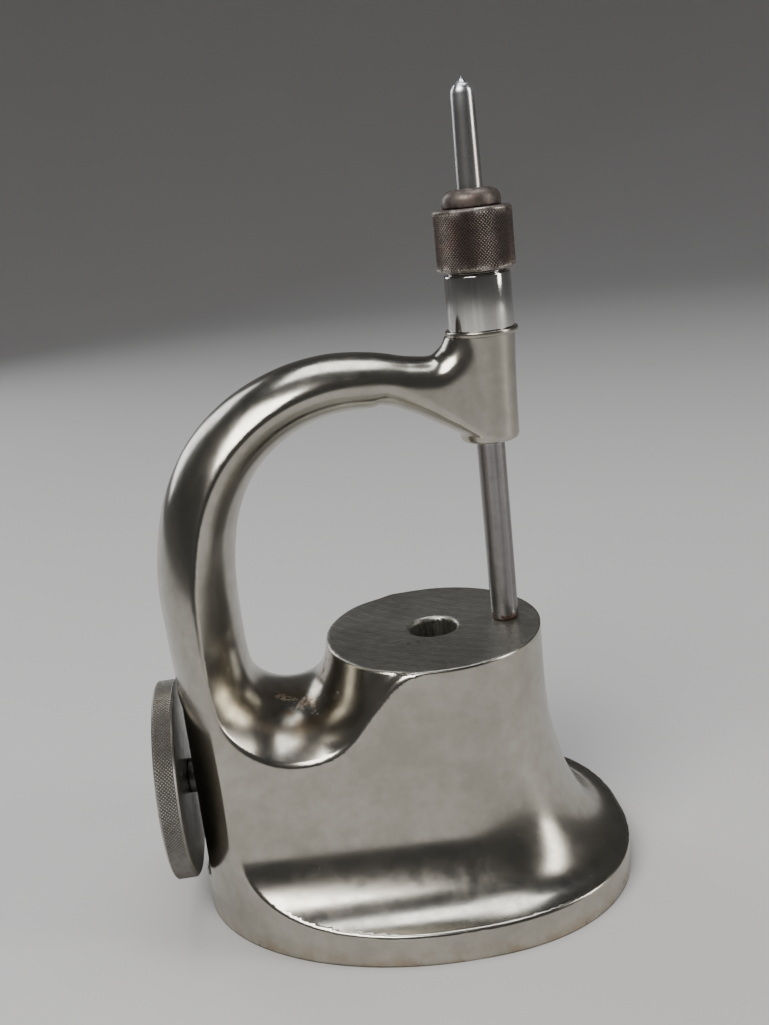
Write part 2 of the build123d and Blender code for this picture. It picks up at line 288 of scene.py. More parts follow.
class SideMap:
    """Numbers that depend only on the side view (x, z), kept on a grid and read by a cubic formula.

    For a crease line it keeps the signed distance from the line and what the line carries there.
    """

    def __init__(
        self, line: Array, low: Tuple[float, float], high: Tuple[float, float], step: float
    ) -> None:
        """Works out the map of a line over a rectangle of the side view."""
        self.low = np.array(low)
        self.step = step
        shape = np.ceil((np.array(high) - self.low) / step).astype(int) + 1
        x = self.low[0] + step * np.arange(shape[0])
        z = self.low[1] + step * np.arange(shape[1])
        gx, gz = np.meshgrid(x, z, indexing="ij")
        flat = np.stack([gx.ravel(), gz.ravel()], axis=1)
        rows = [self._nearest(part, line) for part in np.array_split(flat, 24)]
        self.layers = np.concatenate(rows).reshape(shape[0], shape[1], -1)

    @staticmethod
    def _nearest(places: Array, line: Array) -> Array:
        """Signed distance from the nearest run of the line, and the line's other columns there."""
        start, run = line[:-1, :2], np.diff(line[:, :2], axis=0)
        offset = places[:, None, :] - start[None]
        share = np.clip((offset * run).sum(-1) / (run ** 2).sum(-1), 0.0, 1.0)
        gap = offset - share[..., None] * run
        distance = (gap ** 2).sum(-1)
        best = distance.argmin(1)
        each = np.arange(len(places))
        side = run[best, 0] * gap[each, best, 1] - run[best, 1] * gap[each, best, 0]
        signed = np.sqrt(distance[each, best]) * np.where(side > 0, 1.0, -1.0)
        t = share[each, best][:, None]
        carried = line[best, 2:] * (1 - t) + line[best + 1, 2:] * t
        return np.column_stack([signed, carried])

    def read(self, x: Array, z: Array) -> List[Array]:
        """Each layer's value at places of the side view, by cubic interpolation both ways."""
        place = (np.stack([x, z]) - self.low[:, None]) / self.step
        limit = np.array(self.layers.shape[:2])[:, None] - 3
        cell = np.clip(np.floor(place).astype(int), 1, limit)
        t = place - cell
        weights = [
            np.stack([
                -0.5 * s ** 3 + s ** 2 - 0.5 * s, 1.5 * s ** 3 - 2.5 * s ** 2 + 1.0,
                -1.5 * s ** 3 + 2.0 * s ** 2 + 0.5 * s, 0.5 * s ** 3 - 0.5 * s ** 2,
            ])
            for s in t
        ]
        total = np.zeros((x.size, self.layers.shape[2]))
        for i in range(4):
            for j in range(4):
                weight = weights[0][i] * weights[1][j]
                total += weight[:, None] * self.layers[cell[0] + i - 1, cell[1] + j - 1]
        return list(total.T)


def crown(y: Array, half_width: Array, height: Array) -> Tuple[Array, Array]:
    """Height of a shallow arc over a chord, and the cosine of its slope there."""
    radius = (half_width ** 2 + height ** 2) / (2.0 * height)
    inside = np.minimum(np.abs(y), half_width)
    rise = np.sqrt(np.maximum(radius ** 2 - inside ** 2, 1e-6))
    return rise - (radius - height), rise / radius


@dataclass
class Casting:
    """The nickel-plated casting, as one smooth field whose zero level is its skin.

    The skin is found by dual contouring: the field is sampled on a cubic grid, each cell that the
    skin crosses gets one vertex, where the tangent planes of its crossings meet, and each crossed
    grid edge gets one quad between its four cells.
    """

    base_front: float = 33.0
    base_rear: float = 43.1
    base_half_width: float = 30.0
    base_centre_x: float = -2.0
    front_power: float = 2.34
    rim_height: float = 5.5
    table_z: float = 45.3
    table_radius: float = 18.5
    wall_lean: float = 0.0651
    side_foot: Tuple[float, float] = (13.4, 13.4)
    front_foot: Tuple[float, float] = (12.6, 30.0)
    spindle_x: float = 12.75
    head_bottom_z: float = 77.2
    head_top_z: float = 95.6
    head_low_radius: float = 4.88
    head_flare: float = 0.55
    head_flare_power: float = 2.2
    head_round: float = 0.9
    web_rear_x: float = 6.0
    web_round: float = 0.7
    lip_rear_x: float = 3.0
    lip_radius: float = 5.9
    lip_low_z: float = 94.75
    head_bore: float = 3.7
    die_bore: float = 4.2
    mouth_depth: float = 0.35
    hole_edge: float = 0.12
    clamp_z: float = 23.7
    clamp_bore: float = 3.05
    spot_face_x: float = -43.7
    spot_face_radius: float = 17.9
    throat_middle_z: float = 66.0
    saddle_x: float = -25.2
    column_low_z: float = 24.0
    arm_blend: float = 3.2
    rear_relief: float = 0.004
    crease: float = 0.03
    worn_crease: float = 0.55
    step: float = 0.54
    quick_step: float = 0.8
    hold: float = 0.01
    furthest: float = 0.7
    join_height: float = 7.0
    rear_blend: float = 0.8
    join_front_x: float = -7.0
    join_length: float = 7.0

    def __post_init__(self) -> None:
        """Lays out the two creases of the arm in the side view.

        Each row is x, z, half-width, and how far the crown stands beyond the crease. From the table
        to the arch both creases are one line; at the web the upper one turns up to the head's lip
        and the lower one runs down to the head's foot.
        """
        shared = [
            (24.0, 48.6, 19.0, 5.0, 5.0), (8.0, 47.2, 19.0, 5.0, 5.5), (-2.0, 46.0, 18.3, 5.0, 6.0),
            (-7.8, 44.2, 18.0, 5.0, 6.2), (-12.2, 39.9, 17.7, 5.0, 6.2),
            (-16.2, 35.0, 17.5, 5.2, 6.2),
            (-20.2, 32.3, 17.2, 5.4, 6.2), (-25.2, 31.4, 16.9, 5.6, 6.2),
            (-30.2, 32.4, 16.6, 6.0, 6.2),
            (-34.5, 35.3, 16.4, 6.4, 6.2), (-37.3, 39.6, 16.2, 6.7, 6.2),
            (-38.3, 45.0, 16.0, 6.7, 6.2),
            (-38.5, 53.0, 15.2, 6.7, 6.2), (-38.1, 62.0, 13.9, 6.7, 6.2),
            (-36.0, 71.4, 12.0, 6.5, 6.0),
            (-32.1, 78.9, 10.4, 6.1, 5.8), (-26.6, 84.3, 9.0, 5.6, 5.5),
            (-20.0, 87.9, 7.9, 5.1, 5.2),
            (-13.0, 89.5, 6.9, 4.8, 4.9), (-6.0, 89.3, 6.0, 4.5, 4.5),
        ]
        upper_end = [
            (0.0, 88.85, 5.3, 3.6), (4.6, 88.7, 4.95, 3.4), (7.6, 90.2, 4.85, 3.5),
            (9.4, 92.2, 4.85, 3.6),
            (10.4, 94.8, 4.85, 3.6), (10.7, 98.0, 4.85, 3.6), (10.8, 104.0, 4.85, 3.6),
        ]
        lower_end = [
            (-2.6, 88.2, 5.5, 3.6), (0.4, 86.3, 5.2, 2.9), (3.6, 84.1, 5.0, 2.4),
            (7.4, 81.2, 4.8, 1.9),
            (10.8, 78.5, 4.7, 1.4), (14.0, 76.0, 4.6, 1.2), (20.0, 71.5, 4.6, 1.2),
        ]
        upper = [(x, z, w, out) for x, z, w, out, _ in shared] + upper_end
        lower = [(x, z, w, into) for x, z, w, _, into in shared] + lower_end
        low, high = (-50.0, -4.0), (36.0, 110.0)
        self.upper_map = SideMap(spline(upper), low, high, 0.5)
        self.lower_map = SideMap(spline(lower), low, high, 0.5)

    # ------------------------------ parts of the field
    def egg(self, x: Array, y: Array) -> Array:
        """Distance, roughly, outside the base's outline, half ellipse and half fuller curve."""
        from_middle = x - self.base_centre_x
        front = from_middle > 0
        length = np.where(front, self.base_front, self.base_rear)
        power = np.where(front, self.front_power, 2.0)
        u = np.abs(from_middle) / length
        v = np.abs(y) / self.base_half_width
        level = (u ** power + v ** power + 1e-12) ** (1.0 / power)
        outside = np.hypot(from_middle, y) * (1.0 - 1.0 / np.maximum(level, 1e-3))
        return np.where(level > 1e-3, outside, -self.base_half_width)

    def wall(self, x: Array, y: Array) -> Array:
        """Distance outside the plan of column and wall: a circle and its two rear tangents."""
        s, c = math.sin(self.wall_lean), math.cos(self.wall_lean)
        side = -s * x + c * np.abs(y)
        behind = -c * x - s * np.abs(y)
        return np.where(behind > 0, side, np.hypot(x, y)) - self.table_radius

    def foot(self, x: Array, y: Array, z: Array) -> Array:
        """Column, wall and rim with the hollow foot, taller at the front than beside the wall."""
        wall = self.wall(x, y)
        forward = np.clip(x / np.maximum(np.hypot(x, y), 1e-6), 0.0, 1.0)
        blend = forward ** 2 * (3.0 - 2.0 * forward)
        out = self.side_foot[0] + (self.front_foot[0] - self.side_foot[0]) * blend
        up = self.side_foot[1] + (self.front_foot[1] - self.side_foot[1]) * blend
        above = (z - self.rim_height) * out / up
        return round_union(wall, above, out)

    def arm(self, y: Array, upper: List[Array], inner: Array, lower: List[Array]) -> Array:
        """Arm and web: an outer crown, an inner crown and, between the creases, flat sides."""
        rise, slope = crown(y, upper[1], upper[2])
        skin = smooth_max((upper[0] - rise) * slope, inner, self.crease)
        return smooth_max(skin, np.abs(y) - 0.5 * (upper[1] + lower[1]), self.crease)

    def head(self, x: Array, y: Array, z: Array) -> Array:
        """Tapered boss with a rounded foot, up to just under the lip's top."""
        away = np.hypot(x - self.spindle_x, y)
        share = np.clip((z - self.head_bottom_z) / (self.head_top_z - self.head_bottom_z), 0.0, 1.0)
        radius = self.head_low_radius + self.head_flare * share ** self.head_flare_power
        boss = smooth_max(away - radius, self.head_bottom_z - z, self.head_round)
        return np.maximum(boss, z - self.head_top_z + 0.3)

    def __call__(self, x: Array, y: Array, z: Array) -> Array:
        """Value of the whole field: negative in the metal."""
        upper = self.upper_map.read(x, z)
        lower = self.lower_map.read(x, z)
        low = z < self.throat_middle_z
        far = 9.0
        rise, slope = crown(y, lower[1], lower[2])
        inner = (-lower[0] - rise) * slope
        arm = self.arm(y, upper, inner, lower)
        column = np.maximum(np.hypot(x, y) - self.table_radius, self.column_low_z - z)
        egg = self.egg(x, y)
        pedestal = smooth_max(smooth_max(self.foot(x, y, z), egg, self.crease), inner, self.crease)
        share = np.clip((z - self.table_z + self.join_height) / self.join_height, 0.0, 1.0)
        share = np.where(x < self.saddle_x, share ** 2 * (3.0 - 2.0 * share), 0.0)
        relief = self.rear_relief * np.maximum(z - self.table_z, 0.0) ** 2
        trimmed = smooth_max(arm, egg - relief, self.rear_blend)
        shape = pedestal * (1.0 - share) + trimmed * share
        behind = np.clip((self.join_front_x - x) / self.join_length, 0.0, 1.0)
        blend = 0.02 + self.arm_blend * behind ** 2 * (3.0 - 2.0 * behind)
        body = np.where(low, smooth_min(column, shape, blend), arm)
        over_table = np.where(low, np.minimum(z - self.table_z, x - self.saddle_x), -far)
        body = smooth_max(body, over_table, self.crease)
        body = smooth_max(body, -z, self.crease)
        web_low_z = self.head_bottom_z + self.head_round
        under_web = np.where(low, -far, np.minimum(web_low_z - z, x - self.web_rear_x))
        body = smooth_max(body, under_web, self.web_round)
        over_web = np.where(low, -far, np.minimum(z - self.lip_low_z, x - self.lip_rear_x))
        body = np.maximum(np.maximum(body, over_web), np.where(low, -far, x - self.spindle_x))
        body = smooth_min(body, self.head(x, y, z), 0.3)
        away = np.hypot(x - self.spindle_x, y)
        head_hole = np.where(low, -far, self.head_bore - away)
        mouth = np.maximum(z - self.table_z + self.mouth_depth, 0.0)
        table_hole = np.where(low, self.die_bore + mouth - np.hypot(x, y), -far)
        cross = np.hypot(y, z - self.clamp_z)
        cross_hole = np.minimum(self.clamp_bore - cross, -x)
        spot = np.minimum(self.spot_face_radius - cross, self.spot_face_x - x)
        for hole in (head_hole, table_hole, cross_hole, spot):
            body = smooth_max(body, hole, self.hole_edge)
        return body

    # ------------------------------ skin
    def at(self, places: Array) -> Array:
        """Field at rows of places."""
        return self(places[:, 0], places[:, 1], places[:, 2])

    def slope(self, places: Array, reach: float = 0.02) -> Array:
        """Unit gradient at rows of places, by central differences."""
        result = np.empty_like(places)
        for axis in range(3):
            nudge = np.zeros(3)
            nudge[axis] = reach
            result[:, axis] = self.at(places + nudge) - self.at(places - nudge)
        length = np.linalg.norm(result, axis=1, keepdims=True)
        return result / np.maximum(length, 1e-12)

    def samples(self) -> Tuple[Array, List[Array]]:
        """Field on the cubic grid, worked out for one side and mirrored, and the grid's places."""
        half = int(math.ceil(self.base_half_width / self.step)) + 2
        y = (np.arange(half) + 0.5) * self.step
        x = np.arange(-46.6, 32.4, self.step)
        z = np.arange(-1.3, self.head_top_z + 1.6, self.step)
        values = np.empty((len(x), half, len(z)), np.float32)
        for index, place in enumerate(x):
            gy, gz = [a.ravel() for a in np.meshgrid(y, z, indexing="ij")]
            values[index] = self(np.full_like(gy, place), gy, gz).reshape(half, len(z))
        both = np.concatenate([values[:, ::-1], values], axis=1)
        return both, [x, np.concatenate([-y[::-1], y]), z]

    def skin(self) -> Tuple[Array, Array]:
        """Vertices and quads of the zero level."""
        values, axes = self.samples()
        inside = values < 0
        shape = np.array(values.shape)
        entries: List[Tuple[Array, Array, Array]] = []
        rings: List[Array] = []
        for axis in range(3):
            ahead = np.roll(inside, -1, axis=axis)
            crossed = inside != ahead
            last = [slice(None)] * 3
            last[axis] = -1
            crossed[tuple(last)] = False
            node = np.argwhere(crossed)
            other = node.copy()
            other[:, axis] += 1
            a = values[tuple(node.T)].astype(float)
            b = values[tuple(other.T)].astype(float)
            share = a / (a - b)
            place = np.stack([axes[k][node[:, k]] for k in range(3)], axis=1)
            start = place[:, axis].copy()
            for _ in range(2):
                place[:, axis] = start + share * self.step
                miss = self.at(place)
                share = np.clip(share - miss / (b - a), 0.0, 1.0)
            place[:, axis] = start + share * self.step
            normal = self.slope(place)
            u, v = (axis + 1) % 3, (axis + 2) % 3
            ring = []
            for du, dv in ((0, 0), (-1, 0), (-1, -1), (0, -1)):
                cell = node.copy()
                cell[:, u] += du
                cell[:, v] += dv
                ring.append(np.ravel_multi_index(cell.T, shape))
            ring = np.stack(ring, axis=1)
            leaving = inside[tuple(node.T)]
            ring = np.where(leaving[:, None], ring, ring[:, ::-1])
            rings.append(ring)
            for corner in range(4):
                entries.append((ring[:, corner], place, normal))
        cells = np.concatenate([e[0] for e in entries])
        places = np.concatenate([e[1] for e in entries])
        normals = np.concatenate([e[2] for e in entries])
        used, index = np.unique(cells, return_inverse=True)
        count = np.bincount(index)
        sums = [np.bincount(index, places[:, k]) for k in range(3)]
        middle = np.stack(sums, axis=1) / count[:, None]
        miss = ((places - middle[index]) * normals).sum(1)
        matrix = np.zeros((len(used), 3, 3))
        pull = np.zeros((len(used), 3))
        for i in range(3):
            pull[:, i] = np.bincount(index, normals[:, i] * miss)
            for j in range(3):
                matrix[:, i, j] = np.bincount(index, normals[:, i] * normals[:, j])
        matrix += np.eye(3) * (self.hold * count)[:, None, None]
        shift = np.linalg.solve(matrix, pull[:, :, None])[:, :, 0]
        length = np.linalg.norm(shift, axis=1, keepdims=True)
        shift *= np.minimum(1.0, self.furthest * self.step / np.maximum(length, 1e-9))
        vertices = middle + shift
        for _ in range(2):
            vertices -= self.slope(vertices) * self.at(vertices)[:, None]
        quads = np.searchsorted(used, np.concatenate(rings))
        return vertices, quads

    def normals(self, vertices: Array) -> Array:
        """Normal of each vertex: the slope of the same field with its creases worn round.

        The vertices lie on the sharp creases, where this slope is midway between the two faces, so
        that a crease shades as an evenly rounded edge.
        """
        sharp, self.crease = self.crease, self.worn_crease
        normals = self.slope(vertices, 0.06)
        self.crease = sharp
        return normals

    def machined(self, vertices: Array, quads: Array) -> Array:
        """Which faces were cut by a tool: the table's top, the spot face and the bores."""
        middle = vertices[quads].mean(axis=1)
        x, y, z = middle.T
        across = np.hypot(x, y)
        top = (z > self.table_z - 0.08) & (x > self.saddle_x) & (z < self.table_z + 0.3)
        bore = (across < self.die_bore + 0.4) & (z < self.table_z + 0.3)
        from_screw = np.hypot(y, z - self.clamp_z)
        spot = (x < self.spot_face_x + 0.2) & (from_screw < self.spot_face_radius - 0.1)
        spot &= self.slope(middle)[:, 0] < -0.999
        from_punch = np.hypot(x - self.spindle_x, y)
        head_bore = (from_punch < self.head_bore + 0.3) & (z > self.throat_middle_z)
        under = z < 0.05
        return top | bore | spot | head_bore | under

    def lip(self) -> bpy.types.Object:
        """Thin lip round the top of the head, turned about the punch's axis."""
        low, high, inner = self.lip_low_z, self.head_top_z, self.head_bore + 0.02
        outline = rounded([
            (inner, low - 0.3, 0.0), (5.28, low - 0.3, 0.0), (5.42, low, 0.16),
            (self.lip_radius, low + 0.05, 0.25), (self.lip_radius, high, 0.3), (inner, high, 0.15),
        ])
        mesh = turned("head_lip", outline, Spindle(Axis.UPRIGHT, x=self.spindle_x), 144)
        crisp(mesh, 40.0)
        return finished(mesh, "stand", "nickel_plate", "frame", Finish.NICKEL_PLATE)

    def build(self) -> bpy.types.Object:
        """Makes the casting's piece, with its plated faces first and its machined faces second.

        The blended casting is one closed surface whose genus no single grid of two parameters can
        cover, so it is worked out as the zero level of a field and meshed as arrays.
        """
        vertices, quads = self.skin()
        quads = facing_out(vertices, quads)
        mesh = mesh_from_quads("cast_frame", vertices, quads)
        mesh.polygons.foreach_set("material_index", self.machined(vertices, quads).astype(np.int32))
        mesh.shade_smooth()
        mesh.normals_split_custom_set_from_vertices(self.normals(vertices).tolist())
        return finished(
            mesh, "stand", "nickel_plate", "frame", Finish.NICKEL_PLATE, Finish.MACHINED
        )


# ------------------------------ turned and knurled pieces
@dataclass(frozen=True)
class Knurl:
    """Diamond knurling: two families of crossing grooves round a turned face."""

    count: int
    depth: float
    first: float
    last: float
    pitch: float
    samples: int = 4

    def rows(self) -> Array:
        """Places along the axis, a quarter of a diamond apart, that the grooves pass through."""
        number = int(round((self.last - self.first) / self.pitch * self.samples))
        return self.first + np.arange(number + 1) * (self.last - self.first) / number

    def share(self, turn: Array, row: Array) -> Array:
        """Height of the diamonds from 0 in a groove to 1 on a tip.

        Each family is a triangle wave of the sum or the difference of the places round and along.
        """
        u, v = turn * self.count, row / self.samples
        waves = [1.0 - np.abs(2.0 * np.mod(s, 1.0) - 1.0) for s in (u + v, u - v)]
        return np.clip(1.35 * np.minimum(waves[0], waves[1]), 0.0, 1.0)


def knurled_ring(
    name: str, before: Array, radius: float, knurl: Knurl, after: Array, spindle: Spindle
) -> bpy.types.Mesh:
    """Turned ring with a knurled face between two plain parts of its outline.

    Over the knurled rows the radius is the face's radius less the knurl's depth times one minus the
    diamonds' height; the other rows keep the outline's radius. Quads that a groove crosses are
    split along it, so that each groove stays one straight line.

    Args:
        name: the mesh's name.
        before: outline up to the knurled face, as (radius, height) rows.
        radius: radius over the diamonds' tips.
        knurl: the knurling.
        after: outline from the knurled face back to the start.
        spindle: where the axis is.

    Returns:
        The mesh, with the attributes groove and wear.
    """
    along = knurl.rows()
    columns = knurl.count * knurl.samples
    turn = np.arange(columns)[:, None] / columns
    index = np.arange(len(along))[None, :]
    share = knurl.share(turn, index)
    fade = np.clip(np.minimum(index, len(along) - 1 - index) / 1.0, 0.0, 1.0)
    face = radius - knurl.depth * (1.0 - share) * (0.55 + 0.45 * fade)
    plain = [np.broadcast_to(part[None, :, 0], (columns, len(part))) for part in (before, after)]
    radii = np.concatenate([plain[0], face, plain[1]], axis=1)
    heights = np.concatenate([before[:, 1], along, after[:, 1]])
    points = spindle.place(np.broadcast_to(heights, radii.shape), radii, TURN * turn).reshape(-1, 3)
    total = radii.shape[1]
    quads = grid_quads(columns, total, True, True)
    column, row = quads[:, 0] // total, quads[:, 0] % total - len(before)
    split = (row >= 0) & (row < len(along) - 1)
    along_first = split & ((column - row) % knurl.samples == 0)
    along_other = split & ~along_first
    none = np.full(1, -1)
    pieces = [quads[~split]]
    for chosen, corners in (
        (along_first, ((0, 1, 2), (0, 2, 3))), (along_other, ((0, 1, 3), (1, 2, 3)))
    ):
        for three in corners:
            part = quads[chosen][:, three]
            pieces.append(np.column_stack([part, np.broadcast_to(none, (len(part), 1))]))
    mesh = mesh_from_quads(name, points, facing_out(points, np.concatenate(pieces)))
    groove = np.zeros(radii.shape)
    groove[:, len(before):len(before) + len(along)] = 1.0 - share
    store(mesh, "groove", groove)
    edge = np.zeros(radii.shape)
    near_end = np.exp(-np.minimum(along - along[0], along[-1] - along) / 0.35)
    edge[:, len(before):len(before) + len(along)] = near_end
    edge[:, len(before) - 3:len(before)] = 1.0
    edge[:, len(before) + len(along):len(before) + len(along) + 3] = 1.0
    store(mesh, "wear", edge)
    return mesh


@dataclass
class PunchGuide:
    """Everything on the punch's axis: the sleeve, the knurled nut, its cap and the punch."""

    spindle_x: float = 12.75
    bore: float = 2.39
    sleeve_bottom_z: float = 77.4
    sleeve_lower_radius: float = 3.69
    sleeve_upper_radius: float = 5.35
    head_top_z: float = 95.6
    shoulder_top_z: float = 104.4
    thread_radius: float = 4.9
    thread_depth: float = 0.35
    thread_pitch: float = 0.75
    thread_top_z: float = 110.4
    collet_radius: float = 3.55
    collet_throat: float = 3.15
    taper_z: float = 105.0
    collet_bottom_z: float = 101.2
    nut_radius: float = 6.3
    nut_bottom_z: float = 104.9
    nut_top_z: float = 114.5
    nut_seat_z: float = 112.25
    neck_hole: float = 3.42
    cap_radius: float = 4.7
    cap_low_z: float = 114.58
    cap_height: float = 2.8
    neck_radius: float = 3.3
    punch_radius: float = 2.35
    punch_foot_z: float = 45.3
    taper_low_z: float = 99.0
    taper_high_z: float = 131.9
    nose_radius: float = 1.8
    tip_z: float = 133.9

    @property
    def spindle(self) -> Spindle:
        """The punch's axis."""
        return Spindle(Axis.UPRIGHT, x=self.spindle_x)

    def sleeve(self) -> bpy.types.Object:
        """Ground bush with a threaded top; the thread's crests stand in rings under the nut."""
        outer = self.sleeve_upper_radius
        start, end = self.shoulder_top_z + 0.25, self.thread_top_z - 0.3
        count = int((end - start) / self.thread_pitch)
        thread = [
            (
                self.thread_radius - self.thread_depth * (step % 2),
                start + step * self.thread_pitch / 2, 0.08
            )
            for step in range(2 * count)
        ]
        outline = rounded([
            (self.bore, self.sleeve_bottom_z, 0.2),
            (self.sleeve_lower_radius, self.sleeve_bottom_z, 0.25),
            (self.sleeve_lower_radius, self.head_top_z + 0.02, 0.0),
            (outer, self.head_top_z + 0.02, 0.12),
            (outer, self.shoulder_top_z, 0.4), (self.thread_radius - 0.2, self.shoulder_top_z, 0.1),
            *thread, (self.thread_radius - 0.4, self.thread_top_z, 0.15),
            (self.collet_radius, self.thread_top_z, 0.15), (self.collet_radius, self.taper_z, 0.0),
            (self.collet_throat, self.collet_bottom_z, 0.0), (self.bore, self.collet_bottom_z, 0.0),
        ])
        mesh = turned("sleeve", outline, self.spindle, 160)
        crisp(mesh)
        return finished(mesh, "stand", "polished_steel", "guide_sleeve", Finish.GROUND)

    def nut(self) -> bpy.types.Object:
        """Knurled nut with worn edges."""
        edge = 0.34
        inner = self.thread_radius + 0.06
        before = rounded([
            (inner, self.nut_seat_z, 0.0), (inner, self.nut_bottom_z + 0.3, 0.1),
            (inner + 0.3, self.nut_bottom_z, 0.1), (self.nut_radius - edge, self.nut_bottom_z, 0.2),
            (self.nut_radius - 0.06, self.nut_bottom_z + edge, 0.0),
        ])
        after = rounded([
            (self.nut_radius - 0.06, self.nut_top_z - edge, 0.0),
            (self.nut_radius - edge, self.nut_top_z, 0.25),
            (self.neck_hole + 0.2, self.nut_top_z, 0.1),
            (self.neck_hole, self.nut_top_z - 0.2, 0.1),
            (self.neck_hole, self.nut_seat_z, 0.0),
        ])
        gap = 0.1
        knurl = Knurl(72, 0.15, self.nut_bottom_z + edge + gap, self.nut_top_z - edge - gap, 0.55)
        mesh = knurled_ring("nut", before, self.nut_radius, knurl, after, self.spindle)
        crisp(mesh, 50.0)
        return finished(mesh, "nut", "browned_steel", "collet_nut", Finish.BROWNED)

    def cap(self) -> bpy.types.Object:
        """Low dome over the nut, with a hole for the punch."""
        low, high = self.cap_low_z, self.cap_low_z + self.cap_height
        turn = np.linspace(0.0, 1.0, 14)
        span = self.cap_radius - self.bore - 0.2
        dome = np.column_stack([
            self.bore + 0.2 + span * np.cos(0.5 * math.pi * turn),
            low + 0.75 + (self.cap_height - 0.75) * np.sin(0.5 * math.pi * turn) ** 0.9,
        ])
        lower = rounded([
            (self.neck_radius, low, 0.1), (self.cap_radius, low, 0.3),
            (self.cap_radius, low + 0.7, 0.0),
        ])
        upper = rounded([
            (self.bore, high - 0.3, 0.1), (self.bore, low + 1.4, 0.0),
            (self.neck_radius, low + 1.4, 0.0),
        ])
        outline = np.concatenate([lower, dome, upper])
        mesh = turned("cap", outline, self.spindle, 144)
        crisp(mesh, 40.0)
        radius = np.hypot(mesh_points(mesh)[:, 0] - self.spindle_x, mesh_points(mesh)[:, 1])
        store(mesh, "wear", np.clip(1.0 - (radius - self.bore) / 0.8, 0.0, 1.0))
        store(mesh, "groove", np.zeros(len(mesh.vertices)))
        return finished(mesh, "collet", "browned_steel", "collet_cap", Finish.BROWNED)

    def punch(self) -> bpy.types.Object:
        """Punch: plain shank, long taper, rounded shoulder and a small cone at its tip."""
        shoulder = self.taper_high_z - 0.15
        outline = rounded([
            (0.0, self.punch_foot_z, 0.0), (self.punch_radius - 0.25, self.punch_foot_z, 0.3),
            (self.punch_radius, self.punch_foot_z + 0.45, 0.4),
            (self.punch_radius, self.taper_low_z, 3.0),
            (self.nose_radius, shoulder, 0.5), (1.3, self.taper_high_z + 0.7, 0.3),
            (0.78, self.taper_high_z + 0.95, 0.15), (0.0, self.tip_z, 0.0),
        ], steps=9)
        rows: List[Array] = []
        for start, end in zip(outline[:-1], outline[1:]):
            number = max(1, int(np.linalg.norm(end - start) / 2.5))
            share = np.arange(number)[:, None] / number
            rows.append(start * (1 - share) + end * share)
        rows.append(outline[-1:])
        outline = np.concatenate(rows)
        mesh = turned_solid("punch", outline, self.spindle, 112)
        crisp(mesh, 40.0)
        height = mesh_points(mesh)[:, 2]
        store(mesh, "wear", np.clip((height - shoulder + 0.75) / 0.5, 0.0, 1.0))
        return finished(mesh, "punch", "tool_steel", "centre_punch", Finish.DRAWN)

    def build(self) -> List[bpy.types.Object]:
        """Makes the four turned pieces and dresses the two hidden ones."""
        dress(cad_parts["friction_collet"], Finish.DARK)
        dress(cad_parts["thrust_washer"], Finish.BRASS)
        return [self.sleeve(), self.nut(), self.cap(), self.punch()]


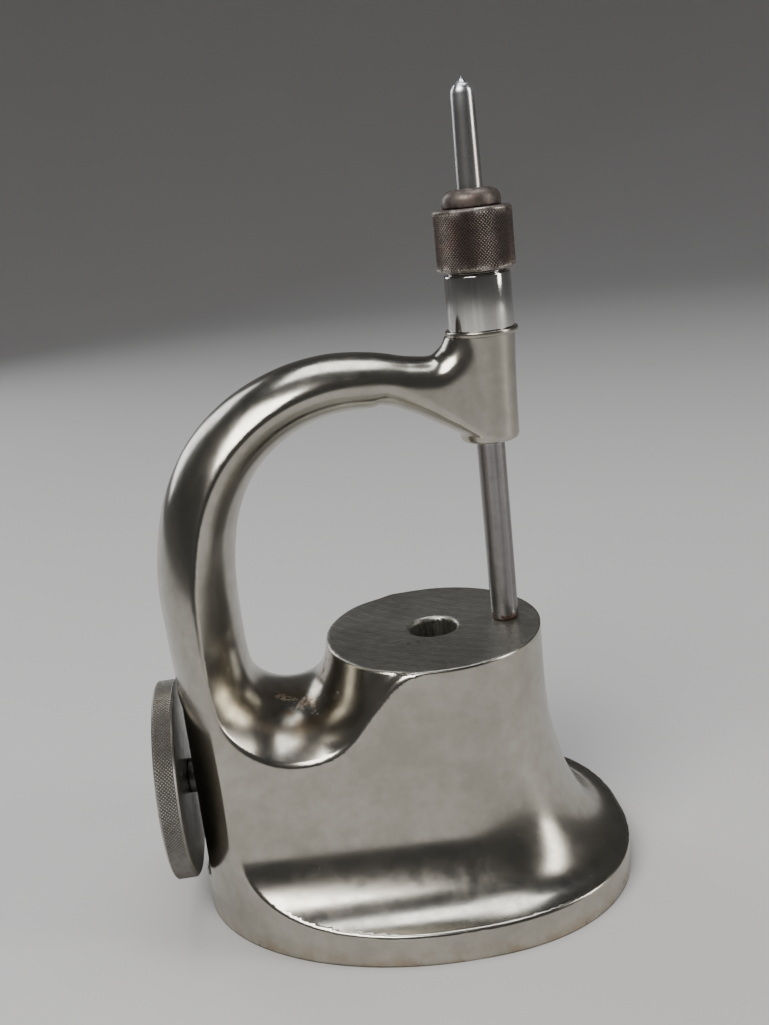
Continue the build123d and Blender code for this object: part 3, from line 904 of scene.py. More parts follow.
@dataclass
class DieClamp:
    """Thumb wheel and screw at the rear, and the shoe that they press on a die stem."""

    clamp_z: float = 23.7
    wheel_inner_x: float = -45.5
    wheel_outer_x: float = -49.2
    wheel_radius: float = 17.1
    seat_radius: float = 2.5
    screw_radius: float = 3.0
    shoe_rear_x: float = -16.5
    spigot_radius: float = 1.6
    spigot_end_x: float = -11.9
    groove_radius: float = 1.05
    groove_x: float = -14.2
    groove_width: float = 1.5
    key_radius: float = 0.6
    key_length: float = 2.6

    @property
    def spindle(self) -> Spindle:
        """The screw's axis."""
        return Spindle(Axis.LENGTHWISE, z=self.clamp_z)

    def wheel(self) -> bpy.types.Object:
        """Thumb wheel with a knurled edge, chamfered sides and turned faces."""
        edge = 0.3
        rim = self.wheel_radius
        before = rounded([
            (self.seat_radius, self.wheel_inner_x, 0.1),
            (self.seat_radius, self.wheel_outer_x, 0.15),
            (rim - edge - 0.1, self.wheel_outer_x, 0.25),
            (rim - 0.1, self.wheel_outer_x + edge, 0.0),
        ])
        after = rounded([
            (rim - 0.1, self.wheel_inner_x - edge, 0.0),
            (rim - edge - 0.1, self.wheel_inner_x, 0.25),
            (self.seat_radius + 0.2, self.wheel_inner_x, 0.0),
        ])
        knurl = Knurl(
            180, 0.17, self.wheel_outer_x + edge + 0.08, self.wheel_inner_x - edge - 0.08, 0.6
        )
        mesh = knurled_ring("thumb_wheel", before, rim, knurl, after, self.spindle)
        crisp(mesh, 50.0)
        return finished(mesh, "wheel", "knurled_steel", "clamp_wheel", Finish.KNURLED)

    def screw(self) -> bpy.types.Object:
        """Screw from the wheel to its grooved spigot, with a slightly domed end."""
        left, right = self.groove_x - self.groove_width / 2, self.groove_x + self.groove_width / 2
        outer = self.wheel_outer_x - 0.2
        outline = rounded([
            (0.0, outer, 0.0), (self.seat_radius - 0.35, outer + 0.02, 0.5),
            (self.seat_radius - 0.02, outer + 0.5, 0.3),
            (self.seat_radius - 0.02, self.wheel_inner_x, 0.0),
            (self.screw_radius, self.wheel_inner_x, 0.25),
            (self.screw_radius, self.shoe_rear_x - 0.2, 0.25),
            (self.spigot_radius, self.shoe_rear_x - 0.2, 0.1), (self.spigot_radius, left, 0.1),
            (self.groove_radius, left, 0.1), (self.groove_radius, right, 0.1),
            (self.spigot_radius, right, 0.1), (self.spigot_radius, self.spigot_end_x, 0.3),
            (0.0, self.spigot_end_x, 0.0),
        ])
        mesh = turned_solid("screw", outline, self.spindle, 96)
        crisp(mesh, 40.0)
        return finished(mesh, "wheel", "dark_steel", "clamp_screw", Finish.DARK)

    def key(self) -> bpy.types.Object:
        """Domed end of the pin that keys the wheel to the screw."""
        spindle = Spindle(Axis.LENGTHWISE, z=self.clamp_z + self.seat_radius)
        outline = rounded([
            (0.0, self.wheel_outer_x - 0.1, 0.0),
            (self.key_radius * 0.6, self.wheel_outer_x - 0.08, 0.2),
            (self.key_radius, self.wheel_outer_x + 0.1, 0.2),
            (self.key_radius, self.wheel_outer_x + self.key_length, 0.1),
            (0.0, self.wheel_outer_x + self.key_length, 0.0),
        ])
        mesh = turned_solid("key_pin", outline, spindle, 40)
        crisp(mesh, 40.0)
        return finished(mesh, "wheel", "dark_steel", "wheel_key", Finish.DARK)

    def build(self) -> List[bpy.types.Object]:
        """Makes the wheel, screw and key, and dresses the hidden shoe and its pin."""
        dress(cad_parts["clamp_shoe"], Finish.BRASS)
        dress(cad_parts["shoe_pin"], Finish.DARK)
        return [self.wheel(), self.screw(), self.key()]


def mesh_points(mesh: bpy.types.Mesh) -> Array:
    """A mesh's vertices in millimetres."""
    flat = np.empty(3 * len(mesh.vertices), np.float32)
    mesh.vertices.foreach_get("co", flat)
    return flat.reshape(-1, 3) / MM


def finished(
    mesh: bpy.types.Mesh, body: str, slot: str, node: str, *finishes: "Finish"
) -> bpy.types.Object:
    """Makes a mesh into a dressed piece, tied to what it moves with and stands for.

    Args:
        mesh: the piece's mesh, whose name it takes.
        body: the body that it rides on.
        slot: the name of its material slot; not used.
        node: the solid that it stands for.
        finishes: its finishes, in the order of its faces' material numbers.

    Returns:
        The piece.
    """
    piece = add_object(mesh.name, mesh)
    dress(piece, *finishes)
    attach(piece, body)
    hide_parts(node)
    return piece


# ------------------------------ finishes
class Tree:
    """A node tree being wired: shorter names for adding nodes and joining their sockets."""

    def __init__(self, tree: bpy.types.NodeTree) -> None:
        """Keeps the tree and starts its nodes in a row."""
        self.tree = tree
        self.place = 0.0

    def add(self, kind: str, **settings: object) -> bpy.types.Node:
        """Adds a node and sets its plain properties."""
        node = self.tree.nodes.new(kind)
        node.location = (self.place, 0.0)
        self.place += 180.0
        for name, value in settings.items():
            setattr(node, name, value)
        return node

    def feed(self, node: bpy.types.Node, **values: object) -> bpy.types.Node:
        """Gives a node's inputs their values, or links where a value is a socket."""
        for name, value in values.items():
            key = name.replace("_", " ") if name.replace("_", " ") in node.inputs else name
            numbered = key[0] == "n" and key[1:].isdigit()
            socket = node.inputs[int(key[1:])] if numbered else node.inputs[key]
            if isinstance(value, bpy.types.NodeSocket):
                self.tree.links.new(value, socket)
            else:
                socket.default_value = value
        return node

    def math(
        self, operation: str, a: object, b: object = 0.0, c: object = 0.0
    ) -> bpy.types.NodeSocket:
        """Result of a math node."""
        node = self.add("ShaderNodeMath", operation=operation)
        return self.feed(node, n0=a, n1=b, n2=c).outputs[0]

    def weigh(
        self, a: object, weight_a: float, b: object, weight_b: float
    ) -> bpy.types.NodeSocket:
        """Sum of two values, each times its weight."""
        return self.math("MULTIPLY_ADD", a, weight_a, self.math("MULTIPLY", b, weight_b))

    def noise(
        self, place: object, scale: float, detail: float = 3.0, rough: float = 0.5
    ) -> bpy.types.NodeSocket:
        """Noise of about nought to one."""
        node = self.add("ShaderNodeTexNoise")
        return self.feed(node, Vector=place, Scale=scale, Detail=detail, Roughness=rough).outputs[0]

    def stretch(
        self, place: object, scale: Tuple[float, float, float], turn: float = 0.0
    ) -> bpy.types.NodeSocket:
        """Places squeezed along the axes, after a turn about Z."""
        node = self.add("ShaderNodeMapping")
        self.feed(node, Vector=place, Scale=scale, Rotation=(0.0, 0.0, turn))
        return node.outputs[0]

    def ramp(
        self, value: object, low: float, high: float, out_low: float = 0.0,
        out_high: float = 1.0, smooth: bool = True,
    ) -> bpy.types.NodeSocket:
        """Value carried from one range to another, held at its ends."""
        node = self.add("ShaderNodeMapRange")
        node.interpolation_type = "SMOOTHSTEP" if smooth else "LINEAR"
        self.feed(node, n0=value, n1=low, n2=high, n3=out_low, n4=out_high)
        return node.outputs[0]

    def mix(self, share: object, a: object, b: object) -> bpy.types.NodeSocket:
        """Colour between two colours."""
        node = self.add("ShaderNodeMix", data_type="RGBA")
        for index, value in ((0, share), (6, a), (7, b)):
            if isinstance(value, bpy.types.NodeSocket):
                self.tree.links.new(value, node.inputs[index])
            else:
                plain = (*value, 1.0) if isinstance(value, tuple) else value
                node.inputs[index].default_value = plain
        return node.outputs[2]

    def group(self, tree: bpy.types.NodeTree, **values: object) -> bpy.types.Node:
        """Places a node group."""
        node = self.add("ShaderNodeGroup", node_tree=tree)
        return self.feed(node, **values)


def new_group(
    name: str, inputs: Dict[str, object], outputs: Sequence[str]
) -> Tuple[Tree, bpy.types.Node, bpy.types.Node]:
    """Starts a shader node group.

    Args:
        name: the group's name.
        inputs: socket names with their default values; None makes a vector socket.
        outputs: names of the value sockets it puts out.

    Returns:
        The tree, its input node and its output node.
    """
    tree = bpy.data.node_groups.new(name, "ShaderNodeTree")
    for label, value in inputs.items():
        kind = "NodeSocketVector" if value is None else "NodeSocketFloat"
        socket = tree.interface.new_socket(name=label, in_out="INPUT", socket_type=kind)
        if value is not None:
            socket.default_value = value
    for label in outputs:
        tree.interface.new_socket(name=label, in_out="OUTPUT", socket_type="NodeSocketFloat")
    kit = Tree(tree)
    return kit, kit.add("NodeGroupInput"), kit.add("NodeGroupOutput")


class Effects:
    """The effects that several finishes share, each made once as a node group."""

    def __init__(self) -> None:
        """Makes every group."""
        self.patina = self._patina()
        self.scratches = self._scratches()
        self.streaks = self._streaks()
        self.spots = self._spots()
        self.rings = self._rings()
        self.near = self._near()

    @staticmethod
    def _patina() -> bpy.types.NodeTree:
        """Cloudy tone from large and small noise, and a fine grain."""
        kit, given, result = new_group("patina", {"Place": None, "Size": 1.0}, ["Tone", "Grain"])
        node = kit.add("ShaderNodeVectorMath", operation="SCALE")
        kit.feed(node, Vector=given.outputs["Place"], Scale=given.outputs["Size"])
        broad = kit.noise(node.outputs[0], 60.0, 3.0, 0.55)
        small = kit.noise(node.outputs[0], 420.0, 4.0, 0.6)
        tone = kit.weigh(small, 0.45, broad, 0.55)
        tone = kit.ramp(tone, 0.33, 0.67)
        kit.feed(result, Tone=tone, Grain=kit.noise(node.outputs[0], 3200.0, 2.0, 0.5))
        return kit.tree

    @staticmethod
    def _scratches() -> bpy.types.NodeTree:
        """Two families of long thin marks, broken up by a coarse noise."""
        kit, given, result = new_group("scratches", {"Place": None}, ["Mark"])
        marks = []
        for turn, scale in ((0.35, (3400.0, 90.0, 1500.0)), (-0.6, (110.0, 3100.0, 1900.0))):
            stretched = kit.stretch(given.outputs["Place"], scale, turn)
            line = kit.noise(stretched, 1.0, 2.0, 0.4)
            marks.append(kit.ramp(line, 0.55, 0.75))
        both = kit.math("MAXIMUM", marks[0], marks[1])
        broken = kit.ramp(kit.noise(given.outputs["Place"], 130.0, 2.0), 0.45, 0.62)
        kit.feed(result, Mark=kit.math("MULTIPLY", both, broken))
        return kit.tree

    @staticmethod
    def _streaks() -> bpy.types.NodeTree:
        """Bands along an upright piece: noise that changes quickly round it, slowly up it."""
        kit, given, result = new_group("streaks", {"Place": None}, ["Broad", "Fine"])
        broad = kit.noise(kit.stretch(given.outputs["Place"], (900.0, 900.0, 14.0)), 1.0, 2.0, 0.5)
        fine = kit.noise(kit.stretch(given.outputs["Place"], (4200.0, 4200.0, 60.0)), 1.0, 3.0, 0.6)
        kit.feed(result, Broad=kit.ramp(broad, 0.4, 0.62), Fine=fine)
        return kit.tree

    @staticmethod
    def _spots() -> bpy.types.NodeTree:
        """Scattered ragged spots; Cover moves the level at which the noise becomes a spot."""
        kit, given, result = new_group("spots", {"Place": None, "Cover": 0.3}, ["Spot"])
        coarse = kit.noise(given.outputs["Place"], 210.0, 2.0, 0.5)
        fine = kit.noise(given.outputs["Place"], 1300.0, 4.0, 0.65)
        level = kit.weigh(fine, 0.4, coarse, 0.6)
        edge = kit.math("SUBTRACT", 0.72, kit.math("MULTIPLY", given.outputs["Cover"], 0.3))
        kit.feed(result, Spot=kit.ramp(kit.math("SUBTRACT", level, edge), 0.0, 0.09))
        return kit.tree

    @staticmethod
    def _rings() -> bpy.types.NodeTree:
        """Cutter marks: sines of the distance from a centre, bent a little by noise."""
        kit, given, result = new_group("rings", {"Place": None, "Pitch": 0.0006}, ["Ring"])
        length = kit.add("ShaderNodeVectorMath", operation="LENGTH")
        kit.feed(length, Vector=given.outputs["Place"])
        bend = kit.math("MULTIPLY", kit.noise(given.outputs["Place"], 90.0, 2.0), 0.0006)
        far = kit.math("ADD", length.outputs["Value"], bend)
        turns = kit.math("DIVIDE", far, given.outputs["Pitch"])
        first = kit.math("SINE", kit.math("MULTIPLY", turns, TURN))
        second = kit.math("SINE", kit.math("MULTIPLY", turns, TURN * 0.37))
        total = kit.math("MULTIPLY_ADD", second, 0.6, first)
        kit.feed(result, Ring=kit.ramp(total, -1.6, 1.6, smooth=False))
        return kit.tree

    @staticmethod
    def _near() -> bpy.types.NodeTree:
        """One at a place and fading to nought at a distance, by way of a smooth step."""
        kit, given, result = new_group(
            "near", {"Place": None, "Centre": None, "Reach": 0.01}, ["Mask"]
        )
        gap = kit.add("ShaderNodeVectorMath", operation="DISTANCE")
        kit.feed(gap, n0=given.outputs["Place"], n1=given.outputs["Centre"])
        share = kit.math("DIVIDE", gap.outputs["Value"], given.outputs["Reach"])
        kit.feed(result, Mask=kit.ramp(share, 0.3, 1.0, 1.0, 0.0))
        return kit.tree


EFFECTS = Effects()
RUST: Colour = (0.085, 0.042, 0.02)


@dataclass(frozen=True)
class MetalLook:
    """A metal surface: two tones with patina between, two roughnesses and a fine relief."""

    name: str
    light: Colour
    dark: Colour
    smooth: float
    rough: float
    metallic: float = 1.0
    grain: float = 0.02

    def start(self) -> Tuple[bpy.types.Material, Tree, bpy.types.Node, bpy.types.NodeSocket]:
        """New material with its shader and the piece's own coordinates."""
        material = bpy.data.materials.new(self.name)
        material.use_nodes = True
        material.node_tree.nodes.clear()
        kit = Tree(material.node_tree)
        place = kit.add("ShaderNodeTexCoord").outputs["Object"]
        shader = kit.add("ShaderNodeBsdfPrincipled")
        output = kit.add("ShaderNodeOutputMaterial")
        kit.tree.links.new(shader.outputs[0], output.inputs["Surface"])
        shader.inputs["Metallic"].default_value = self.metallic
        return material, kit, shader, place

    def finish(
        self, kit: Tree, shader: bpy.types.Node, colour: object, rough: object,
        height: object, metallic: Optional[object] = None, depth: float = 0.00002,
    ) -> None:
        """Wires colour, roughness, relief and, where rust covers the metal, metallic."""
        kit.feed(shader, Base_Color=colour, Roughness=rough)
        bump = kit.add("ShaderNodeBump")
        kit.feed(bump, Strength=0.35, Distance=depth, Height=height)
        kit.feed(shader, Normal=bump.outputs[0])
        if metallic is not None:
            kit.feed(shader, Metallic=metallic)


@dataclass(frozen=True)
class NickelPlate(MetalLook):
    """Old polished nickel: cloudy, lightly scratched, rusty in the saddle and low on the rim."""

    def material(self) -> bpy.types.Material:
        """Makes the material."""
        material, kit, shader, place = self.start()
        patina = kit.group(EFFECTS.patina, Place=place, Size=1.0)
        marks = kit.group(EFFECTS.scratches, Place=place).outputs["Mark"]
        tone = patina.outputs["Tone"]
        colour = kit.mix(tone, self.light, self.dark)
        rough = kit.ramp(tone, 0.0, 1.0, self.smooth, self.rough, smooth=False)
        rough = kit.math("MULTIPLY_ADD", marks, 0.035, rough)
        axes = kit.add("ShaderNodeSeparateXYZ")
        kit.feed(axes, Vector=place)
        low_rim = kit.ramp(axes.outputs["Z"], 0.0, 0.0042, 1.0, 0.0)
        saddle = kit.group(EFFECTS.near, Place=place, Centre=(-0.024, -0.006, 0.0365), Reach=0.012)
        shoulder = kit.group(
            EFFECTS.near, Place=place, Centre=(-0.0185, -0.003, 0.043), Reach=0.007
        )
        where = kit.math("MAXIMUM", kit.math("MULTIPLY", low_rim, 0.8), saddle.outputs["Mask"])
        where = kit.math("MAXIMUM", where, kit.math("MULTIPLY", shoulder.outputs["Mask"], 0.9))
        spots = kit.group(
            EFFECTS.spots, Place=place, Cover=kit.math("MULTIPLY_ADD", where, 0.5, 0.05)
        )
        rust = spots.outputs["Spot"]
        blotch = kit.ramp(kit.noise(place, 300.0, 3.0, 0.6), 0.42, 0.6)
        stain = kit.math("MULTIPLY", where, kit.math("MULTIPLY_ADD", blotch, 0.45, 0.1))
        colour = kit.mix(stain, colour, (0.30, 0.20, 0.10))
        colour = kit.mix(kit.math("MULTIPLY", rust, 0.85), colour, RUST)
        rough = kit.math("MULTIPLY_ADD", rust, 0.4, rough)
        metal = kit.math("SUBTRACT", 1.0, kit.math("MULTIPLY", rust, 0.85))
        height = kit.weigh(patina.outputs["Grain"], self.grain, rust, 0.5)
        self.finish(kit, shader, colour, rough, height, metal)
        return material


@dataclass(frozen=True)
class MachinedFace(MetalLook):
    """Faced table: matte grey with the cutter's arcs, small stains and specks."""

    def material(self) -> bpy.types.Material:
        """Makes the material."""
        material, kit, shader, place = self.start()
        patina = kit.group(EFFECTS.patina, Place=place, Size=1.6)
        moved = kit.add("ShaderNodeVectorMath", operation="SUBTRACT")
        kit.feed(moved, n0=place, n1=(0.034, 0.046, 0.0453))
        other = kit.add("ShaderNodeVectorMath", operation="SUBTRACT")
        kit.feed(other, n0=place, n1=(-0.06, -0.02, 0.0453))
        ring = kit.group(EFFECTS.rings, Place=moved.outputs[0], Pitch=0.00085).outputs["Ring"]
        cross = kit.group(EFFECTS.rings, Place=other.outputs[0], Pitch=0.00052).outputs["Ring"]
        both = kit.weigh(cross, 0.4, ring, 0.6)
        tone = kit.weigh(patina.outputs["Tone"], 0.45, both, 0.55)
        colour = kit.mix(tone, self.light, self.dark)
        spots = kit.group(EFFECTS.spots, Place=place, Cover=0.3).outputs["Spot"]
        colour = kit.mix(kit.math("MULTIPLY", spots, 0.7), colour, (0.10, 0.075, 0.05))
        rough = kit.ramp(both, 0.0, 1.0, self.smooth, self.rough, smooth=False)
        height = kit.weigh(both, 1.0, patina.outputs["Grain"], 0.25)
        self.finish(kit, shader, colour, rough, height)
        return material


@dataclass(frozen=True)
class DrawnSteel(MetalLook):
    """Steel rubbed lengthwise: bands of grey, a few brown streaks, bright where it is struck."""

    brown: float = 0.5

    def material(self) -> bpy.types.Material:
        """Makes the material."""
        material, kit, shader, place = self.start()
        streaks = kit.group(EFFECTS.streaks, Place=place)
        patina = kit.group(EFFECTS.patina, Place=place, Size=1.8)
        tone = kit.weigh(streaks.outputs["Broad"], 0.6, patina.outputs["Tone"], 0.4)
        colour = kit.mix(tone, self.light, self.dark)
        brown = kit.ramp(kit.noise(kit.stretch(place, (420.0, 420.0, 22.0)), 1.0, 3.0), 0.52, 0.68)
        colour = kit.mix(kit.math("MULTIPLY", brown, self.brown), colour, (0.26, 0.13, 0.085))
        rough = kit.ramp(tone, 0.0, 1.0, self.smooth, self.rough, smooth=False)
        if self.brown > 0.2:
            wear = kit.add("ShaderNodeAttribute", attribute_name="wear").outputs["Fac"]
            bright = kit.math(
                "MULTIPLY", wear, kit.ramp(kit.noise(place, 900.0, 3.0), 0.3, 0.55, 0.55, 1.0)
            )
            colour = kit.mix(bright, colour, (0.72, 0.74, 0.76))
            axes = kit.add("ShaderNodeSeparateXYZ")
            kit.feed(axes, Vector=place)
            # Painted shade: below the head, under about 77 mm, the shank is mixed towards dark
            # grey.
            painted_shank_shade = kit.ramp(axes.outputs["Z"], 0.076, 0.078, 0.62, 0.0)
            colour = kit.mix(painted_shank_shade, colour, (0.13, 0.12, 0.12))
            foot = kit.ramp(axes.outputs["Z"], 0.0455, 0.0485, 1.0, 0.0)
            rust = kit.group(
                EFFECTS.spots, Place=place, Cover=kit.math("MULTIPLY", foot, 0.95)
            ).outputs["Spot"]
            colour = kit.mix(kit.math("MULTIPLY", rust, 0.8), colour, RUST)
            rough = kit.math("MULTIPLY_ADD", rust, 0.35, rough)
        height = kit.weigh(streaks.outputs["Fine"], 0.6, patina.outputs["Grain"], 0.2)
        self.finish(kit, shader, colour, rough, height)
        return material


@dataclass(frozen=True)
class BrownedSteel(MetalLook):
    """Steel under old brown rust, worn to bare metal on its edges and on the knurl's tips."""

    def material(self) -> bpy.types.Material:
        """Makes the material."""
        material, kit, shader, place = self.start()
        patina = kit.group(EFFECTS.patina, Place=place, Size=3.0)
        red = kit.ramp(kit.noise(place, 260.0, 4.0, 0.6), 0.46, 0.66)
        colour = kit.mix(patina.outputs["Tone"], self.light, self.dark)
        colour = kit.mix(kit.math("MULTIPLY", red, 0.6), colour, (0.085, 0.035, 0.024))
        groove = kit.add("ShaderNodeAttribute", attribute_name="groove").outputs["Fac"]
        colour = kit.mix(kit.math("MULTIPLY", groove, 0.55), colour, (0.022, 0.015, 0.012))
        wear = kit.add("ShaderNodeAttribute", attribute_name="wear").outputs["Fac"]
        tips = kit.ramp(groove, 0.0, 0.35, 0.22, 0.0)
        wear = kit.math("MAXIMUM", wear, tips)
        patchy = kit.ramp(kit.noise(place, 520.0, 4.0, 0.6), 0.4, 0.62, 0.12, 0.9)
        bare = kit.math("MULTIPLY", wear, patchy)
        colour = kit.mix(bare, colour, (0.46, 0.42, 0.38))
        rough = kit.ramp(patina.outputs["Tone"], 0.0, 1.0, self.smooth, self.rough, smooth=False)
        rough = kit.math("MULTIPLY_ADD", bare, -0.15, rough)
        metal = kit.ramp(bare, 0.0, 1.0, self.metallic, 1.0, smooth=False)
        height = kit.math("MULTIPLY", patina.outputs["Grain"], 0.8)
        self.finish(kit, shader, colour, rough, height, metal)
        return material


@dataclass(frozen=True)
class TurnedSteel(MetalLook):
    """Turned and knurled steel: tool rings on its faces, darker down in the grooves, bright tips.
    """

    centre: Tuple[float, float, float] = (0.0, 0.0, 0.0237)

    def material(self) -> bpy.types.Material:
        """Makes the material."""
        material, kit, shader, place = self.start()
        patina = kit.group(EFFECTS.patina, Place=place, Size=2.0)
        moved = kit.add("ShaderNodeVectorMath", operation="SUBTRACT")
        kit.feed(moved, n0=place, n1=self.centre)
        flat = kit.stretch(moved.outputs[0], (0.0, 1.0, 1.0))
        ring = kit.group(EFFECTS.rings, Place=flat, Pitch=0.00042).outputs["Ring"]
        tone = kit.weigh(patina.outputs["Tone"], 0.65, ring, 0.35)
        colour = kit.mix(tone, self.light, self.dark)
        groove = kit.add("ShaderNodeAttribute", attribute_name="groove").outputs["Fac"]
        colour = kit.mix(kit.math("MULTIPLY", groove, 0.75), colour, (0.07, 0.06, 0.05))
        axes = kit.add("ShaderNodeSeparateXYZ")
        kit.feed(axes, Vector=place)
        # Painted shade: the wheel is mixed towards dark brown below 18 mm, darkest at its bottom.
        low = kit.ramp(axes.outputs["Z"], 0.008, 0.018, 0.75, 0.0)
        colour = kit.mix(low, colour, (0.09, 0.075, 0.06))
        spots = kit.group(EFFECTS.spots, Place=place, Cover=0.35).outputs["Spot"]
        colour = kit.mix(kit.math("MULTIPLY", spots, 0.6), colour, RUST)
        rough = kit.ramp(tone, 0.0, 1.0, self.smooth, self.rough, smooth=False)
        rough = kit.math("MULTIPLY_ADD", groove, 0.2, rough)
        height = kit.weigh(ring, 0.5, patina.outputs["Grain"], 0.3)
        self.finish(kit, shader, colour, rough, height)
        return material


@dataclass(frozen=True)
class PlainMetal(MetalLook):
    """Turned metal inside the tool, cloudy and lightly marked."""

    def material(self) -> bpy.types.Material:
        """Makes the material."""
        material, kit, shader, place = self.start()
        patina = kit.group(EFFECTS.patina, Place=place, Size=2.4)
        marks = kit.group(EFFECTS.scratches, Place=place).outputs["Mark"]
        colour = kit.mix(patina.outputs["Tone"], self.light, self.dark)
        rough = kit.ramp(patina.outputs["Tone"], 0.0, 1.0, self.smooth, self.rough, smooth=False)
        height = kit.weigh(marks, -0.3, patina.outputs["Grain"], 0.3)
        self.finish(kit, shader, colour, rough, height)
        return material


class Finish(Enum):
    """The finishes of the stand."""

    NICKEL_PLATE = NickelPlate("nickel_plate", (0.47, 0.45, 0.40), (0.37, 0.35, 0.30), 0.15, 0.25)
    MACHINED = MachinedFace("machined_face", (0.48, 0.47, 0.43), (0.22, 0.215, 0.19), 0.3, 0.5)
    GROUND = DrawnSteel(
        "ground_steel", (0.66, 0.65, 0.63), (0.48, 0.47, 0.45), 0.07, 0.15, brown=0.1
    )
    DRAWN = DrawnSteel(
        "drawn_steel", (0.56, 0.56, 0.56), (0.28, 0.275, 0.27), 0.22, 0.36, brown=0.5
    )
    BROWNED = BrownedSteel(
        "browned_steel", (0.075, 0.054, 0.045), (0.034, 0.025, 0.021), 0.38, 0.55, metallic=0.4
    )
    KNURLED = TurnedSteel("knurled_steel", (0.50, 0.49, 0.46), (0.30, 0.29, 0.27), 0.3, 0.45)
    DARK = PlainMetal("dark_steel", (0.26, 0.25, 0.235), (0.16, 0.15, 0.14), 0.28, 0.45)
    BRASS = PlainMetal("turned_brass", (0.66, 0.48, 0.22), (0.5, 0.34, 0.14), 0.22, 0.4)


MATERIALS: Dict[Finish, bpy.types.Material] = {}


def dress(piece: bpy.types.Object, *finishes: Finish) -> None:
    """Gives a piece its finishes, in the order of its faces' material numbers."""
    for finish in finishes:
        if finish not in MATERIALS:
            MATERIALS[finish] = finish.value.material()
    materials = [MATERIALS[finish] for finish in finishes]
    if piece.data.materials:
        for index in range(len(piece.material_slots)):
            piece.material_slots[index].link = "OBJECT"
            piece.material_slots[index].material = materials[0]
        return
    for material in materials:
        piece.data.materials.append(material)


# ------------------------------ studio
@dataclass(frozen=True)
class SoftLight:
    """A square soft light that faces a target."""

    name: str
    place: Tuple[float, float, float]
    target: Tuple[float, float, float]
    width: float
    height: float
    power: float
    colour: Colour = (1.0, 1.0, 1.0)

    def build(self) -> None:
        """Hangs the light."""
        lamp = bpy.data.lights.new(self.name, "AREA")
        lamp.shape = "RECTANGLE"
        lamp.size, lamp.size_y = self.width, self.height
        lamp.energy = self.power
        lamp.color = self.colour
        lamp_object = bpy.data.objects.new(self.name, lamp)
        bpy.context.scene.collection.objects.link(lamp_object)
        facing = Vector(self.target) - Vector(self.place)
        turn = facing.to_track_quat("-Z", "Y").to_matrix().to_4x4()
        lamp_object.matrix_world = Matrix.Translation(self.place) @ turn


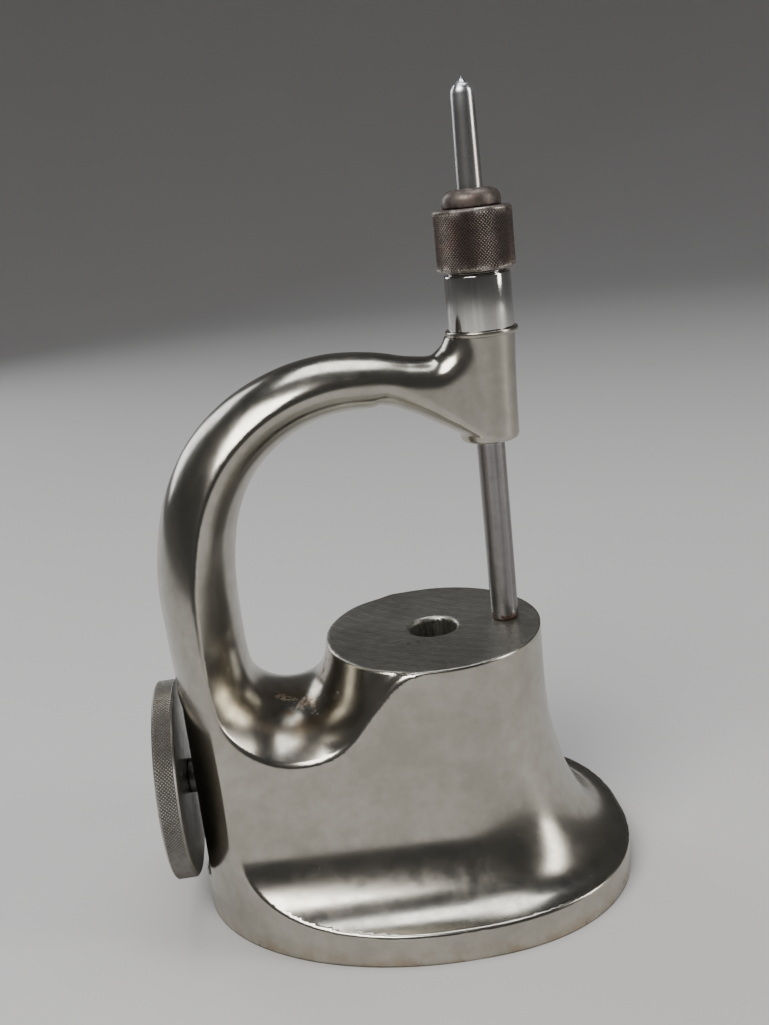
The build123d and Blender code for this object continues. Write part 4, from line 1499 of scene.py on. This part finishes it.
@dataclass
class Studio:
    """Plain pale floor, plain surroundings, soft lights and the camera."""

    floor_radius: float = 0.9
    sweep_radius: float = 0.9
    sweep_height: float = 2.2
    floor_colour: Colour = (0.54, 0.535, 0.53)
    air_colour: Colour = (0.05, 0.052, 0.058)
    camera_place: Tuple[float, float, float] = (-0.01925, -0.18, 0.12066)
    camera_right: Tuple[float, float, float] = (0.98882, -0.10387, -0.10700)
    camera_ahead: Tuple[float, float, float] = (0.06948, 0.95578, -0.28575)
    lens: float = 39.48
    lights: Tuple[SoftLight, ...] = (
        SoftLight(
            "key", (-0.30, -0.38, 0.62), (-0.01, 0.0, 0.04), 0.42, 0.34, 5.5, (1.0, 0.98, 0.95)
        ),
        SoftLight("top", (0.05, 0.10, 0.72), (0.0, 0.0, 0.03), 0.5, 0.3, 2.4, (0.97, 0.98, 1.0)),
        SoftLight("side", (0.62, -0.22, 0.30), (0.0, 0.0, 0.05), 0.16, 0.5, 2.0, (1.0, 0.97, 0.93)),
        SoftLight(
            "back", (-0.45, 0.55, 0.35), (-0.02, 0.0, 0.06), 0.3, 0.5, 1.6, (0.93, 0.96, 1.0)
        ),
    )

    def floor(self) -> None:
        """Floor that sweeps up all round: a disc, a quarter circle and a wall, turned about Z."""
        turn = np.linspace(0.0, 0.5 * math.pi, 24)
        bend = np.column_stack([
            self.floor_radius + self.sweep_radius * np.sin(turn),
            self.sweep_radius * (1.0 - np.cos(turn)),
        ])
        outline = np.concatenate([
            [[0.0, 0.0], [0.3 * self.floor_radius, 0.0], [0.7 * self.floor_radius, 0.0]], bend,
            [[self.floor_radius + self.sweep_radius, self.sweep_height]],
        ]) / MM
        angle = np.linspace(0.0, TURN, 128, endpoint=False)[:, None]
        points = np.stack([
            outline[1:, 0] * np.cos(angle), outline[1:, 0] * np.sin(angle),
            np.broadcast_to(outline[1:, 1], (128, len(outline) - 1)),
        ], axis=-1).reshape(-1, 3)
        count = len(outline) - 1
        ring = np.arange(128) * count
        fan = np.stack(
            [np.full(128, len(points)), ring, np.roll(ring, -1), np.full(128, -1)], axis=1
        )
        sides = grid_quads(128, count, True, False)[:, [0, 3, 2, 1]]
        points = np.concatenate([points, np.zeros((1, 3))])
        mesh = mesh_from_quads("floor", points, np.concatenate([fan, sides]))
        mesh.shade_smooth()
        floor = add_object("floor", mesh)
        material = bpy.data.materials.new("floor_paper")
        material.use_nodes = True
        kit = Tree(material.node_tree)
        shader = material.node_tree.nodes["Principled BSDF"]
        place = kit.add("ShaderNodeTexCoord").outputs["Object"]
        tone = kit.noise(place, 7.0, 3.0)
        shade = tuple(0.94 * c for c in self.floor_colour)
        kit.feed(shader, Base_Color=kit.mix(tone, self.floor_colour, shade), Roughness=0.7)
        floor.data.materials.append(material)

    def surroundings(self) -> None:
        """Even, plain surroundings."""
        world = bpy.data.worlds.new("studio")
        world.use_nodes = True
        background = world.node_tree.nodes["Background"]
        background.inputs["Color"].default_value = (*self.air_colour, 1.0)
        background.inputs["Strength"].default_value = 1.0
        bpy.context.scene.world = world

    def camera(self) -> None:
        """Camera at the viewing angle, turned a little about its own axis."""
        ahead = Vector(self.camera_ahead).normalized()
        right = Vector(self.camera_right)
        right = (right - right.dot(ahead) * ahead).normalized()
        up = right.cross(ahead)
        lens = bpy.data.cameras.new("camera")
        lens.sensor_fit = "VERTICAL"
        lens.sensor_height = 36.0
        lens.lens = self.lens
        lens.clip_start = 0.005
        lens.clip_end = 20.0
        camera = bpy.data.objects.new("camera", lens)
        bpy.context.scene.collection.objects.link(camera)
        turn = Matrix((right, up, -ahead)).transposed().to_4x4()
        camera.matrix_world = Matrix.Translation(self.camera_place) @ turn
        bpy.context.scene.camera = camera

    def build(self) -> None:
        """Sets up everything round the object."""
        self.camera()
        self.surroundings()
        self.floor()
        for light in self.lights:
            light.build()


def main() -> None:
    """Builds the studio and the stand's sub-assemblies in order."""
    Studio().build()
    casting = Casting()
    pieces = [casting.build(), casting.lip()]
    pieces += PunchGuide().build()
    pieces += DieClamp().build()
    for piece in pieces:
        log.info("%s: %d faces", piece.name, len(piece.data.polygons))


if __name__ == "__main__":
    logging.basicConfig(level=logging.INFO)
    main()
